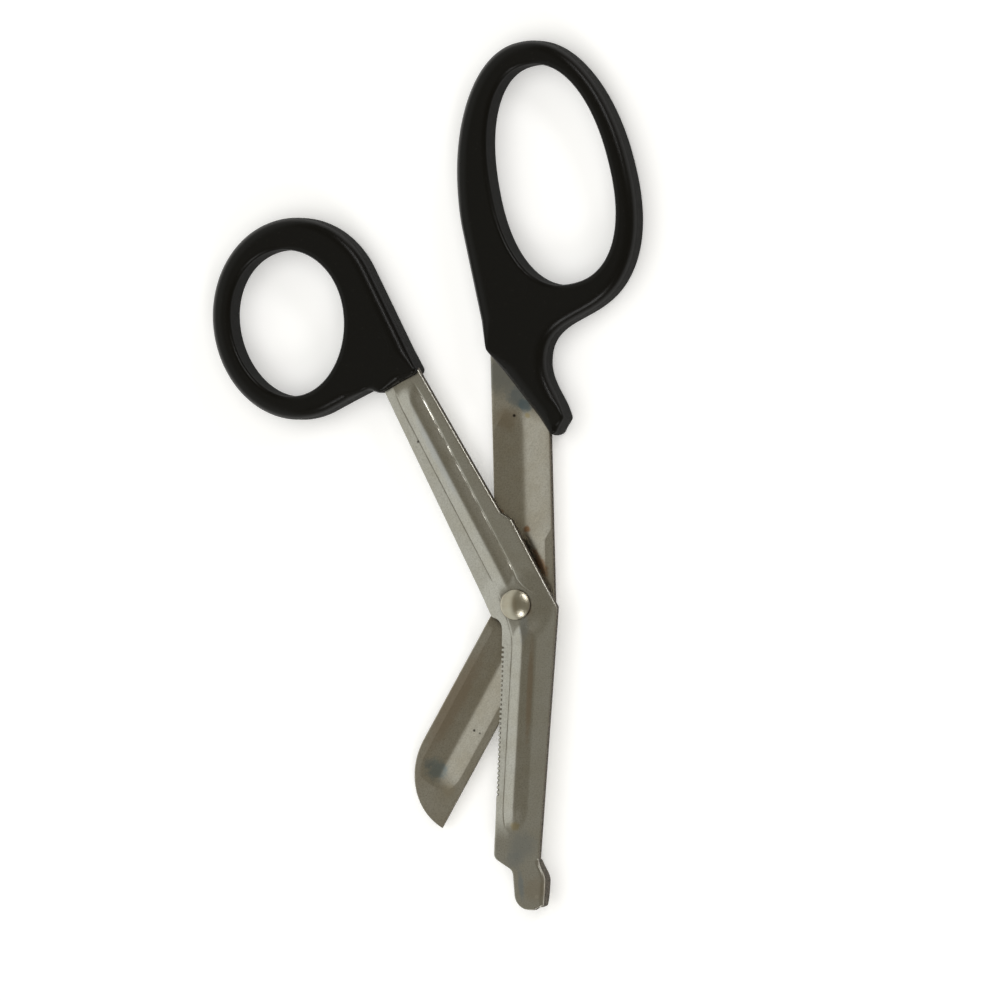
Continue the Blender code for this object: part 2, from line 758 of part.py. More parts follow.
def cut_pocket(handle, outline, key, side, parent):
    """Cut the pocket that holds a tang, round the plug that keys it."""
    low, high = sorted(
        (sheet_face(side, -TANG_CLEARANCE), sheet_face(side, SHEET + TANG_CLEARANCE))
    )
    pocket = plate(f"{handle.name}_pocket", outline, ((low, 0), (high, 0)), parent)
    drill(pocket, f"{handle.name}_plug", key, KEY_HOLE_RADIUS - TANG_CLEARANCE, parent)
    combine(handle, "DIFFERENCE", pocket)


def thumb_hole_middle():
    """Give the middle of the thumb hole, counted up from the sleeve's mouth."""
    return (THUMB_HOLE_X, LOWER_MOUTH + THUMB_HOLE_RISE)


def thumb_outline():
    """Outline the thumb handle: an oval ring that runs into a square sleeve."""
    ring = oval(
        (THUMB_HOLE_X + THUMB_RING_SHIFT_X, thumb_hole_middle()[1] + THUMB_RING_SHIFT_Y),
        THUMB_HOLE_LENGTH / 2 + THUMB_RIM_ENDS,
        THUMB_HOLE_WIDTH / 2 + THUMB_RIM_SIDES,
        THUMB_RING_TILT,
        THUMB_RING_EGG,
    )
    right = (THUMB_SLEEVE_RIGHT, LOWER_MOUTH)
    left = (-THUMB_SLEEVE_LEFT, LOWER_MOUTH)
    heel = (-THUMB_SLEEVE_LEFT - THUMB_HEEL, LOWER_MOUTH + THUMB_HEEL)
    first = tangent_index(ring, right, 1)
    last = tangent_index(ring, heel, -1)
    arc = between(ring, first, last)
    corners = [(point, 0) for point in arc]
    corners += [(heel, HEEL_RADIUS), (left, SLEEVE_RADIUS), (right, SLEEVE_RADIUS)]
    return rounded(corners)


def make_thumb_handle(parent):
    """Model the small handle, moulded over the lower tang."""
    material = finish("thumb_handle_plastic", (0.013, 0.012, 0.010), 0.38, 0.0)
    levels = fillet_levels(HANDLE_FILLET)
    handle = plate("thumb_handle", thumb_outline(), levels, parent, material)
    hole = oval(
        thumb_hole_middle(),
        THUMB_HOLE_LENGTH / 2,
        THUMB_HOLE_WIDTH / 2,
        THUMB_HOLE_TILT,
        THUMB_HOLE_EGG,
    )
    cut_finger_hole(handle, hole, parent)
    half = LOWER_TANG_HALF_WIDTH + TANG_CLEARANCE
    top = LOWER_MOUTH + LOWER_TANG_LENGTH + TANG_CLEARANCE
    pocket = rounded(
        [
            ((LOWER_TANG_MIDDLE - half, LOWER_MOUTH - MARGIN), 0),
            ((LOWER_TANG_MIDDLE + half, LOWER_MOUTH - MARGIN), 0),
            ((LOWER_TANG_MIDDLE + half, top), TANG_CORNER + TANG_CLEARANCE),
            ((LOWER_TANG_MIDDLE - half, top), TANG_CORNER + TANG_CLEARANCE),
        ]
    )
    cut_pocket(handle, pocket, lower_key(), 1, parent)
    return handle


def finger_outline():
    """Outline the finger handle: a long ring, its web and a slanted sleeve."""
    centre = (FINGER_HOLE_X + FINGER_RING_SHIFT_X, FINGER_HOLE_Y + FINGER_RING_SHIFT_Y)
    ring = oval(
        centre,
        FINGER_HOLE_LENGTH / 2 + FINGER_RIM_ENDS,
        FINGER_HOLE_WIDTH / 2 + FINGER_RIM_SIDES,
        FINGER_RING_TILT,
        FINGER_RING_EGG,
        FINGER_RING_SQUARE,
    )
    left = (FINGER_MOUTH_LEFT_X, FINGER_MOUTH_LEFT_Y)
    right = (FINGER_MOUTH_RIGHT_X, FINGER_MOUTH_RIGHT_Y)
    waist = Vector((FINGER_WAIST_X, FINGER_WAIST_Y))
    nub = Vector((FINGER_NUB_X, FINGER_NUB_Y))
    wanted = math.radians(FINGER_WEB_ANGLE)
    angles = [math.atan2(y - centre[1], x - centre[0]) for x, y in ring]
    first = int(np.argmin([abs(angle - wanted) for angle in angles]))
    last = tangent_index(ring, left, -1)
    arc = between(ring, first, last)
    leaving = (Vector(arc[0]) - Vector(arc[1])).normalized()
    down = Vector((0.0, -1.0))
    web_span = (Vector(arc[0]) - waist).length
    flare_span = (nub - waist).length
    slant = (nub - waist + down * flare_span * FINGER_NUB_SHARE).normalized()
    nub_side = nub - slant * 2 * SLEEVE_RADIUS
    ring_pull = Vector(arc[0]) + leaving * web_span * FINGER_WEB_RING_SHARE
    up_pull = waist - down * web_span * FINGER_WEB_UP_SHARE
    web = bezier(arc[0], ring_pull, up_pull, waist, WEB_STEPS)
    down_pull = waist + down * flare_span * FINGER_FLARE_UP_SHARE
    nub_pull = nub_side - slant * flare_span * FINGER_FLARE_NUB_SHARE
    flare = bezier(waist, down_pull, nub_pull, nub_side, FLARE_STEPS)
    corners = [(point, 0) for point in arc]
    corners += [(left, SLEEVE_RADIUS), (right, SLEEVE_RADIUS), (tuple(nub), SLEEVE_RADIUS)]
    corners += [(tuple(nub_side), 0)]
    corners += [(point, 0) for point in reversed(flare)]
    corners += [(tuple(waist), 0)]
    corners += [(point, 0) for point in reversed(web)]
    return rounded(corners)


def make_finger_handle(parent):
    """Model the large handle, moulded over the upper tang."""
    material = finish("finger_handle_plastic", (0.013, 0.012, 0.010), 0.38, 0.0)
    levels = fillet_levels(HANDLE_FILLET)
    handle = plate("finger_handle", finger_outline(), levels, parent, material)
    hole = oval(
        (FINGER_HOLE_X, FINGER_HOLE_Y),
        FINGER_HOLE_LENGTH / 2,
        FINGER_HOLE_WIDTH / 2,
        FINGER_HOLE_TILT,
        FINGER_HOLE_EGG,
        FINGER_HOLE_SQUARE,
    )
    cut_finger_hole(handle, hole, parent)
    left = UPPER_TANG_MIDDLE - UPPER_TANG_HALF_WIDTH - TANG_CLEARANCE
    right = UPPER_TANG_MIDDLE + UPPER_TANG_HALF_WIDTH + TANG_CLEARANCE
    top = UPPER_TANG_TOP + TANG_CLEARANCE
    pocket = rounded(
        [
            ((left, finger_mouth(left, MARGIN)), 0),
            ((right, finger_mouth(right, MARGIN)), 0),
            ((right, top), TANG_CORNER + TANG_CLEARANCE),
            ((left, top), TANG_CORNER + TANG_CLEARANCE),
        ]
    )
    cut_pocket(handle, pocket, upper_key(), -1, parent)
    return handle


def make_rivet(parent):
    """Turn the rivet: a domed head in front, a shank and a peened tail behind."""
    seat = sheet_face(1, SHEET + LOWER_RIDGE_HEIGHT + SEAT_RISE) + RIVET_PLAY
    back = sheet_face(-1, SHEET + UPPER_RIDGE_HEIGHT + SEAT_RISE) - RIVET_PLAY
    profile = [(0.0, back - RIVET_TAIL_HEIGHT)]
    for step in range(1, TAIL_STEPS):
        angle = math.radians(90 * step / TAIL_STEPS)
        radius = RIVET_TAIL_RADIUS * math.sin(angle)
        profile.append((radius, back - RIVET_TAIL_HEIGHT * math.sqrt(math.cos(angle))))
    profile += [(RIVET_TAIL_RADIUS, back), (RIVET_RADIUS, back), (RIVET_RADIUS, seat)]
    profile.append((RIVET_HEAD_RADIUS, seat))
    crown = seat + RIVET_HEAD_HEIGHT
    rise = RIVET_HEAD_HEIGHT * (1 - RIVET_RIM_SHARE)
    sphere = (RIVET_HEAD_RADIUS**2 + rise**2) / (2 * rise)
    widest = math.asin(RIVET_HEAD_RADIUS / sphere)
    for step in range(DOME_STEPS):
        angle = widest * (1 - step / DOME_STEPS)
        profile.append((sphere * math.sin(angle), crown - sphere * (1 - math.cos(angle))))
    profile.append((0.0, crown))
    material = steel("rivet_steel", (0.62, 0.60, 0.57), 0.16)
    return revolve("pivot_rivet", profile, parent, material)


def world_bounds(objects):
    """Measure the box round the finished objects."""
    graph = bpy.context.evaluated_depsgraph_get()
    corners = []
    for obj in objects:
        done = obj.evaluated_get(graph)
        corners += [done.matrix_world @ vertex.co for vertex in done.data.vertices]
    points = np.array([tuple(corner) for corner in corners])
    return points.min(axis=0), points.max(axis=0)


def shade(obj):
    """Shade round stretches smooth and keep the creases sharp."""
    obj.data.shade_smooth()
    obj.data.set_sharp_from_angle(angle=math.radians(CREASE_ANGLE))


def main():
    """Build every piece and stand the scissors on their origin."""
    for obj in list(bpy.data.objects):
        bpy.data.objects.remove(obj, do_unlink=True)
    root = empty("scissors")
    upper_arm = empty("upper_arm", root, UPPER_LEAN)
    lower_arm = empty("lower_arm", root, LOWER_LEAN)
    pieces = [
        make_upper_blade(upper_arm),
        make_finger_handle(upper_arm),
        make_lower_blade(lower_arm),
        make_thumb_handle(lower_arm),
        make_rivet(upper_arm),
    ]
    for piece in pieces:
        shade(piece)
    bpy.context.view_layer.update()
    low, high = world_bounds(pieces)
    root.location = (-(low[0] + high[0]) / 2, -(low[1] + high[1]) / 2, -low[2])
    bpy.context.view_layer.update()


main()
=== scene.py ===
"""Looks of a pair of bandage scissors that lie open on a pale floor."""

import json
import logging
import math
from dataclasses import dataclass
from enum import Enum

import bpy
import numpy as np
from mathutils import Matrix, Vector, noise


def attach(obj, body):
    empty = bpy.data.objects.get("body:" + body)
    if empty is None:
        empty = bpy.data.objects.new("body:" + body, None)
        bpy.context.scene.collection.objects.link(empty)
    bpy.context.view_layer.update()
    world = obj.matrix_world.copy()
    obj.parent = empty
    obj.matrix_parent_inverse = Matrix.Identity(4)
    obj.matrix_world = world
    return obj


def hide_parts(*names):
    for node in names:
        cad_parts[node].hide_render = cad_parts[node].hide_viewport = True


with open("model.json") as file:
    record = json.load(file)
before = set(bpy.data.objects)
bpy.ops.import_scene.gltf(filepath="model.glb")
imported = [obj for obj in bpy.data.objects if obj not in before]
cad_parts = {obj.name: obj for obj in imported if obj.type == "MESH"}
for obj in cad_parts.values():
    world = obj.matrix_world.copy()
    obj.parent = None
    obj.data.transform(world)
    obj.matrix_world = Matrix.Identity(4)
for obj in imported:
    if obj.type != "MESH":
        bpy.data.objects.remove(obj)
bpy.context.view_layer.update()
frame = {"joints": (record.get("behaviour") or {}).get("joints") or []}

LOG = logging.getLogger("scissors")

# Where the rivet's axis stands, and the heights that the pieces share, in metres
PIVOT = np.array(frame["joints"][0]["pos_m"][:2])
SHEET = 0.0019
LOWER_INNER_FACE = 0.0041
UPPER_INNER_FACE = 0.0039
HANDLE_THICKNESS = 0.008
RIVET_BACK = 0.00093
RIVET_SEAT = 0.00707

# The hole for the rivet, and how near two points may lie before they are merged
RIVET_HOLE = 0.00228
HOLE_SIDES = 96
CUTTER_DEPTH = 0.03
CUTTER_MIDDLE = 0.004
MERGE_DISTANCE = 0.000004
LEVEL_TOLERANCE = 0.000001

# The height that a relief of 1 stands for in a finish
RELIEF = 0.00001

ACROSS = np.array((1.0, 0.0))
UP = np.array((0.0, 1.0))

Point = tuple[float, float]
Corner = tuple[Point, float]
Colour = tuple[float, float, float]
Socket = bpy.types.NodeSocket


class CutEdge(Enum):
    """How rough and dark the narrow side of a stamped sheet is, from 0 to 1: partly sheared grime, partly
    painted shade.
    """

    TUMBLED = 0.96
    SHEARED = 1.0


class Side(Enum):
    """Which way a ridge is pressed out of its sheet."""

    FRONT = 1
    BACK = -1


def rotated(points: np.ndarray, degrees: float) -> np.ndarray:
    """Turn points of the plane about the rivet.

    Args:
        points: Rows of x and y, in metres.
        degrees: The angle, counter-clockwise.

    Returns:
        The turned rows.
    """
    angle = math.radians(degrees)
    cos, sin = math.cos(angle), math.sin(angle)
    return np.asarray(points) @ np.array(((cos, sin), (-sin, cos)))


def rounded_outline(corners: list[Corner], step: float = 6.0) -> np.ndarray:
    """Turn corners into a closed outline with arcs.

    Args:
        corners: Pairs of a point and the radius of its corner.
        step: The largest angle between neighbours on an arc, in degrees.

    Returns:
        The outline's points, in the corners' order.
    """
    outline = []
    count = len(corners)
    for index, (point, radius) in enumerate(corners):
        here = Vector(point)
        if radius == 0:
            outline.append(tuple(here))
            continue
        back = (Vector(corners[index - 1][0]) - here).normalized()
        ahead = (Vector(corners[(index + 1) % count][0]) - here).normalized()
        half = back.angle(ahead) / 2
        centre = here + (back + ahead).normalized() * (radius / math.sin(half))
        reach = radius / math.tan(half)
        start = np.array(here + back * reach - centre)
        end = here + ahead * reach - centre
        sweep = -math.degrees(Vector(start).angle_signed(end))
        steps = max(2, math.ceil(abs(sweep) / step))
        for number in range(steps + 1):
            outline.append(tuple(np.array(centre) + rotated(start, sweep * number / steps)))
    return np.array(outline)


def resampled(outline: np.ndarray, spacing: float) -> np.ndarray:
    """Space a closed outline's points evenly.

    Args:
        outline: The outline's points.
        spacing: The wanted distance between neighbours.

    Returns:
        The evenly spaced points.
    """
    closed = np.vstack((outline, outline[:1]))
    reach = np.concatenate(((0.0,), np.cumsum(np.linalg.norm(np.diff(closed, axis=0), axis=1))))
    places = np.linspace(0, reach[-1], round(reach[-1] / spacing) + 1)[:-1]
    return np.column_stack((np.interp(places, reach, closed[:, 0]), np.interp(places, reach, closed[:, 1])))


def line_meeting(first: np.ndarray, way: np.ndarray, second: np.ndarray, other: np.ndarray) -> np.ndarray:
    """Find where two lines cross, each given by a point and a direction.

    Args:
        first: A point of the first line.
        way: The first line's direction.
        second: A point of the second line.
        other: The second line's direction.

    Returns:
        The point that both lines share.
    """
    matrix = np.array((way, -np.asarray(other))).T
    along = np.linalg.solve(matrix, np.asarray(second) - np.asarray(first))[0]
    return np.asarray(first) + along * np.asarray(way)


def span(outline: np.ndarray, origin: np.ndarray, way: np.ndarray) -> tuple[float, float]:
    """Measure where a straight line enters and leaves an outline.

    Args:
        outline: The closed outline's points.
        origin: A point of the line.
        way: The line's unit direction.

    Returns:
        The distances from the origin to the two edges nearest to it.
    """
    start = outline - origin
    end = np.roll(start, -1, axis=0)
    before = way[0] * start[:, 1] - way[1] * start[:, 0]
    after = way[0] * end[:, 1] - way[1] * end[:, 0]
    hit = (before > 0) != (after > 0)
    share = before[hit] / (before[hit] - after[hit])
    points = start[hit] + (end[hit] - start[hit]) * share[:, None]
    found = np.sort(points @ way)
    pairs = list(zip(found[::2], found[1::2]))
    return min(pairs, key=lambda pair: abs(pair[0] + pair[1]))


def quarter_turn(count: int) -> list[Point]:
    """Trace a quarter circle by pairs: one number grows from 0 to 1, the other shrinks from 1 to 0."""
    return [(1 - math.cos(angle), 1 - math.sin(angle)) for angle in np.radians(np.linspace(0, 90, count))]


def deselect_all() -> None:
    """Leave nothing selected, so that an operator acts on one piece."""
    bpy.ops.object.select_all(action="DESELECT")


def activate(piece: bpy.types.Object) -> None:
    """Select one piece alone and make it active."""
    deselect_all()
    piece.select_set(True)
    bpy.context.view_layer.objects.active = piece


def shade(piece: bpy.types.Object, degrees: float) -> None:
    """Smooth a piece's faces and keep edges sharper than an angle.

    Args:
        piece: The mesh to shade.
        degrees: The angle above which an edge stays sharp.
    """
    activate(piece)
    bpy.ops.object.shade_smooth_by_angle(angle=math.radians(degrees))


def face_outward() -> None:
    """Turn all faces of the active piece outward."""
    bpy.ops.object.mode_set(mode="EDIT")
    bpy.ops.mesh.select_all(action="SELECT")
    bpy.ops.mesh.normals_make_consistent(inside=False)
    bpy.ops.object.mode_set(mode="OBJECT")


def tube(name: str, rings: np.ndarray) -> bpy.types.Object:
    """Cover a row of closed rings with a surface that is open at both ends.

    A grid is added and each of its rows is laid along one ring. Its seam is
    then merged.

    Args:
        name: The new piece's name.
        rings: Points by ring, place in the ring, and x, y, z in metres.

    Returns:
        The mesh object, selected, with its place in its mesh.
    """
    count, around = rings.shape[:2]
    deselect_all()
    bpy.ops.mesh.primitive_grid_add(x_subdivisions=around, y_subdivisions=count - 1, size=1)
    piece = bpy.context.object
    piece.name = name
    piece.data.name = name
    closed = np.concatenate((rings, rings[:, :1]), axis=1)
    piece.data.vertices.foreach_set("co", closed.reshape(-1).astype(np.float32))
    bpy.ops.object.mode_set(mode="EDIT")
    bpy.ops.mesh.select_all(action="SELECT")
    bpy.ops.mesh.remove_doubles(threshold=MERGE_DISTANCE)
    bpy.ops.object.mode_set(mode="OBJECT")
    return piece


def skin(name: str, rings: np.ndarray) -> bpy.types.Object:
    """Cover a row of closed rings with one closed surface.

    Args:
        name: The new piece's name.
        rings: Points by ring, place in the ring, and x, y, z in metres.

    Returns:
        The finished mesh object, with its place in its mesh.
    """
    piece = tube(name, rings)
    bpy.ops.object.mode_set(mode="EDIT")
    bpy.ops.mesh.select_all(action="SELECT")
    bpy.ops.mesh.fill_holes(sides=0)
    bpy.ops.object.mode_set(mode="OBJECT")
    face_outward()
    return piece


def drill(piece: bpy.types.Object, centre: np.ndarray, radius: float) -> None:
    """Cut a round hole through a piece, along the rivet's direction.

    Args:
        piece: The mesh to cut.
        centre: The hole's middle, as world x and y.
        radius: The hole's radius.
    """
    deselect_all()
    bpy.ops.mesh.primitive_cylinder_add(
        vertices=HOLE_SIDES, radius=radius, depth=CUTTER_DEPTH, location=(*centre, CUTTER_MIDDLE))
    cutter = bpy.context.object
    activate(piece)
    modifier = piece.modifiers.new("hole", "BOOLEAN")
    modifier.operation = "DIFFERENCE"
    modifier.solver = "EXACT"
    modifier.object = cutter
    bpy.ops.object.modifier_apply(modifier=modifier.name)
    bpy.data.objects.remove(cutter, do_unlink=True)


# Node graphs


class Graph:
    """A node tree that is built up one node at a time."""

    def __init__(self, tree: bpy.types.NodeTree) -> None:
        """Hold the tree that the nodes go into."""
        self.tree = tree

    def node(self, kind: str, inputs: dict | None = None, **settings: object) -> bpy.types.Node:
        """Add a node.

        Args:
            kind: The node's type, without its leading ShaderNode.
            inputs: Sockets or values for the inputs, by name or number.
            settings: Values for the node's own properties.

        Returns:
            The new node.
        """
        made = self.tree.nodes.new(f"ShaderNode{kind}")
        for name, value in settings.items():
            setattr(made, name, value)
        for key, value in (inputs or {}).items():
            self.feed(made.inputs[key], value)
        return made

    def feed(self, target: Socket, value: object) -> None:
        """Link a socket to an input, or set the input's value."""
        if isinstance(value, Socket):
            self.tree.links.new(value, target)
        else:
            target.default_value = value

    def math(self, operation: str, *values: object) -> Socket:
        """Combine numbers with one operation and give the result's socket."""
        return self.node("Math", dict(enumerate(values)), operation=operation).outputs[0]

    def plus(self, first: object, second: object) -> Socket:
        """Add two numbers and give the sum's socket."""
        return self.math("ADD", first, second)

    def minus(self, first: object, second: object) -> Socket:
        """Take the second number from the first and give the result's socket."""
        return self.math("SUBTRACT", first, second)

    def times(self, first: object, second: object) -> Socket:
        """Multiply two numbers and give the product's socket."""
        return self.math("MULTIPLY", first, second)

    def swing(self, value: object, reach: object) -> Socket:
        """Turn a value from 0 to 1 into one that swings about 0, as far as the reach in all."""
        return self.times(self.minus(value, 0.5), reach)

    def mix(self, share: object, first: object, second: object) -> Socket:
        """Mix two colours by a share and give the result's socket."""
        made = self.node("Mix", data_type="RGBA")
        self.feed(made.inputs[0], share)
        for index, value in ((6, first), (7, second)):
            self.feed(made.inputs[index], (*value, 1.0) if isinstance(value, tuple) else value)
        return made.outputs[2]

    def noise(self, vector: object, scale: float, detail: float = 2.0, rough: float = 0.5) -> Socket:
        """Give a noise value between 0 and 1 at a place."""
        inputs = {"Vector": vector, "Scale": scale, "Detail": detail, "Roughness": rough}
        return self.node("TexNoise", inputs).outputs[0]

    def ramp(self, value: object, low: float, high: float, bottom: float = 0.0, top: float = 1.0) -> Socket:
        """Map a value smoothly from one range to another and give its socket."""
        inputs = {0: value, 1: low, 2: high, 3: bottom, 4: top}
        return self.node("MapRange", inputs, interpolation_type="SMOOTHSTEP").outputs[0]

    def fade(self, value: object, low: float, high: float) -> Socket:
        """Fall smoothly from 1 at the low value to 0 at the high one."""
        return self.ramp(value, low, high, bottom=1.0, top=0.0)

    def turned(self, vector: object, degrees: float) -> Socket:
        """Turn a place about the rivet and give its socket."""
        away = self.vector("SUBTRACT", vector, (*PIVOT, 0.0))
        inputs = {"Vector": away, "Rotation": (0.0, 0.0, math.radians(degrees))}
        return self.node("Mapping", inputs).outputs[0]

    def vector(self, operation: str, first: object, second: object) -> Socket:
        """Combine two vectors with one operation and give the result's socket."""
        return self.node("VectorMath", {0: first, 1: second}, operation=operation).outputs[0]

    def length(self, vector: object) -> Socket:
        """Give a vector's length."""
        return self.node("VectorMath", {0: vector}, operation="LENGTH").outputs["Value"]

    def dot(self, first: object, second: object) -> Socket:
        """Give how far two directions agree, from -1 to 1."""
        return self.node("VectorMath", {0: first, 1: second}, operation="DOT_PRODUCT").outputs["Value"]

    def part(self, vector: object, index: int) -> Socket:
        """Give the x, y or z of a vector, by its index."""
        return self.node("SeparateXYZ", {0: vector}).outputs[index]

    def upright(self) -> Socket:
        """Give how far a face looks up or down, from 0 on a wall to 1 on a flat."""
        return self.math("ABSOLUTE", self.part(self.node("TexCoord").outputs["Normal"], 2))

    def surface(self, shader: bpy.types.Node, colour: Socket, rough: Socket, height: Socket,
                strength: float, metallic: Socket | float = 0.0) -> None:
        """Feed a material's shader.

        Args:
            shader: The Principled shader.
            colour: The base colour.
            rough: The roughness.
            height: The relief, as a multiple of RELIEF.
            strength: How strongly the relief shows.
            metallic: How metallic the surface is.
        """
        self.feed(shader.inputs["Base Color"], colour)
        self.feed(shader.inputs["Roughness"], rough)
        self.feed(shader.inputs["Metallic"], metallic)
        bump = self.node("Bump", {"Height": height, "Distance": RELIEF, "Strength": strength})
        self.feed(shader.inputs["Normal"], bump.outputs[0])

    def use(self, name: str, **inputs: object) -> bpy.types.bpy_prop_collection:
        """Place a node group with its own values and give its outputs."""
        placed = self.node("Group", node_tree=bpy.data.node_groups[name])
        for socket, value in inputs.items():
            self.feed(placed.inputs[socket], value)
        return placed.outputs

    def bands(self, value: object, stops: list[tuple[float, Colour]]) -> Socket:
        """Give the colour between stops, each a position from 0 to 1 and a colour."""
        made = self.node("ValToRGB", {0: value})
        elements = made.color_ramp.elements
        elements.remove(elements[1])
        elements[0].position = stops[0][0]
        elements[0].color = (*stops[0][1], 1.0)
        for position, colour in stops[1:]:
            elements.new(position).color = (*colour, 1.0)
        return made.outputs[0]


def node_group(name: str, inputs: dict[str, str],
               outputs: dict[str, str]) -> tuple[Graph, bpy.types.Node, bpy.types.Node]:
    """Start a shader node group with named sockets.

    Args:
        name: The group's name.
        inputs: Socket types by input name.
        outputs: Socket types by output name.

    Returns:
        The group's graph, its input node and its output node.
    """
    tree = bpy.data.node_groups.new(name, "ShaderNodeTree")
    for direction, sockets in (("INPUT", inputs), ("OUTPUT", outputs)):
        for socket, kind in sockets.items():
            tree.interface.new_socket(socket, in_out=direction, socket_type=f"NodeSocket{kind}")
    return Graph(tree), tree.nodes.new("NodeGroupInput"), tree.nodes.new("NodeGroupOutput")


def patch_group() -> None:
    """Build the mask of one ragged oval patch about a place; the steel lays stains and painted shade with it.
    """
    inputs = {"Position": "Vector", "Centre": "Vector", "Turn": "Float", "Shape": "Vector", "Ragged": "Float"}
    graph, given, result = node_group("colour_patch", inputs, {"Mask": "Float"})
    place = given.outputs["Position"]
    away = graph.vector("SUBTRACT", place, given.outputs["Centre"])
    about = {"Vector": away, "Angle": given.outputs["Turn"]}
    turned = graph.node("VectorRotate", about, rotation_type="Z_AXIS").outputs[0]
    length = graph.length(graph.vector("MULTIPLY", turned, given.outputs["Shape"]))
    cloud = graph.noise(place, scale=900.0, detail=3.0, rough=0.6)
    share = graph.plus(length, graph.swing(cloud, given.outputs["Ragged"]))
    graph.feed(result.inputs["Mask"], graph.fade(share, low=0.35, high=1.0))


def rub_group() -> None:
    """Build the effect of fine rub marks that run in one direction."""
    inputs = {"Position": "Vector", "Fineness": "Float", "Length": "Float"}
    graph, given, result = node_group("rub_marks", inputs, {"Lines": "Float", "Cloud": "Float"})
    place, fineness = given.outputs["Position"], given.outputs["Fineness"]
    scale = graph.node("CombineXYZ", {0: fineness, 1: given.outputs["Length"], 2: fineness}).outputs[0]
    lines = graph.noise(graph.vector("MULTIPLY", place, scale), scale=1.0, detail=4.0, rough=0.7)
    graph.feed(result.inputs["Lines"], lines)
    graph.feed(result.inputs["Cloud"], graph.noise(place, scale=160.0, detail=4.0, rough=0.6))


def wear_group() -> None:
    """Build the effect of edges rubbed bright, from how sharply the surface turns."""
    inputs = {"Position": "Vector", "Width": "Float"}
    graph, given, result = node_group("edge_wear", inputs, {"Edge": "Float"})
    normal = graph.node("NewGeometry").outputs["Normal"]
    rounded = graph.node("Bevel", {"Radius": given.outputs["Width"]}, samples=4).outputs[0]
    turn = graph.minus(1.0, graph.dot(normal, rounded))
    cloud = graph.noise(given.outputs["Position"], scale=700.0, detail=3.0, rough=0.6)
    edge = graph.times(graph.ramp(turn, low=0.01, high=0.15), graph.ramp(cloud, low=0.3, high=0.65))
    graph.feed(result.inputs["Edge"], edge)


def grain_group() -> None:
    """Build the effect of moulded plastic: fine grain over slow waves."""
    inputs = {"Position": "Vector", "Grain": "Float", "Waves": "Float"}
    graph, given, result = node_group("moulded_grain", inputs, {"Height": "Float", "Speckle": "Float"})
    place = given.outputs["Position"]
    fine = graph.times(graph.noise(place, scale=5200.0, detail=2.0, rough=0.6), given.outputs["Grain"])
    slow = graph.times(graph.noise(place, scale=260.0, detail=2.0, rough=0.4), given.outputs["Waves"])
    graph.feed(result.inputs["Height"], graph.plus(fine, slow))
    graph.feed(result.inputs["Speckle"], graph.noise(place, scale=1400.0, detail=3.0, rough=0.7))


@dataclass(frozen=True)
class ColourPatch:
    """A coloured patch at a place on the steel, longer one way where length is set; some are painted shade.
    """

    x: float
    y: float
    radius: float
    colour: Colour
    strength: float = 1.0
    ragged: float = 0.8
    length: float = 0.0
    turn: float = 0.0

    def lay(self, graph: Graph, place: Socket, under: Socket) -> Socket:
        """Paint the patch over a colour.

        Args:
            graph: The material's graph.
            place: The Object coordinates.
            under: The colour that the patch covers.

        Returns:
            The painted colour's socket.
        """
        shape = (1 / self.radius, 1 / (self.length or self.radius), 0.0)
        patch = graph.use("colour_patch", Position=place, Centre=(self.x, self.y, 0.0), Shape=shape,
                          Turn=-math.radians(self.turn), Ragged=self.ragged)
        return graph.mix(graph.times(patch["Mask"], self.strength), under, self.colour)


@dataclass(frozen=True)
class ToothRow:
    """Where the notches of the toothed edge lie, along and across the blade."""

    turn: float
    start: float
    end: float
    pitch: float
    edge_start: float
    edge_end: float
    edge_top: float
    edge_tip: float
    dot_width: tuple[float, float] = (0.00012, 0.00034)
    dot_depth: tuple[float, float] = (0.0004, 0.0007)
    end_fade: float = 0.0004

    def notch_shade(self, graph: Graph, place: Socket) -> Socket:
        """Give a mask of the painted shade in every notch."""
        local = graph.turned(place, -self.turn)
        down = graph.times(graph.part(local, 1), -1.0)
        off = graph.math("PINGPONG", graph.minus(down, self.start - self.pitch * 2), self.pitch / 2)
        inputs = {0: down, 1: self.edge_start, 2: self.edge_end, 3: -self.edge_top, 4: -self.edge_tip}
        depth = graph.minus(graph.part(local, 0), graph.node("MapRange", inputs).outputs[0])
        middle, half = (self.start + self.end) / 2, (self.end - self.start) / 2
        away = graph.math("ABSOLUTE", graph.minus(down, middle))
        mask = graph.times(graph.fade(off, *self.dot_width), graph.fade(depth, *self.dot_depth))
        return graph.times(mask, graph.fade(away, half, half + self.end_fade))


def start_material(name: str) -> tuple[bpy.types.Material, Graph, bpy.types.Node, Socket]:
    """Begin a material.

    Args:
        name: The material's name.

    Returns:
        The material, its graph, its Principled shader and the Object coordinates.
    """
    material = bpy.data.materials.new(name)
    material.use_nodes = True
    graph = Graph(material.node_tree)
    shader = material.node_tree.nodes["Principled BSDF"]
    place = graph.node("TexCoord").outputs["Object"]
    return material, graph, shader, place


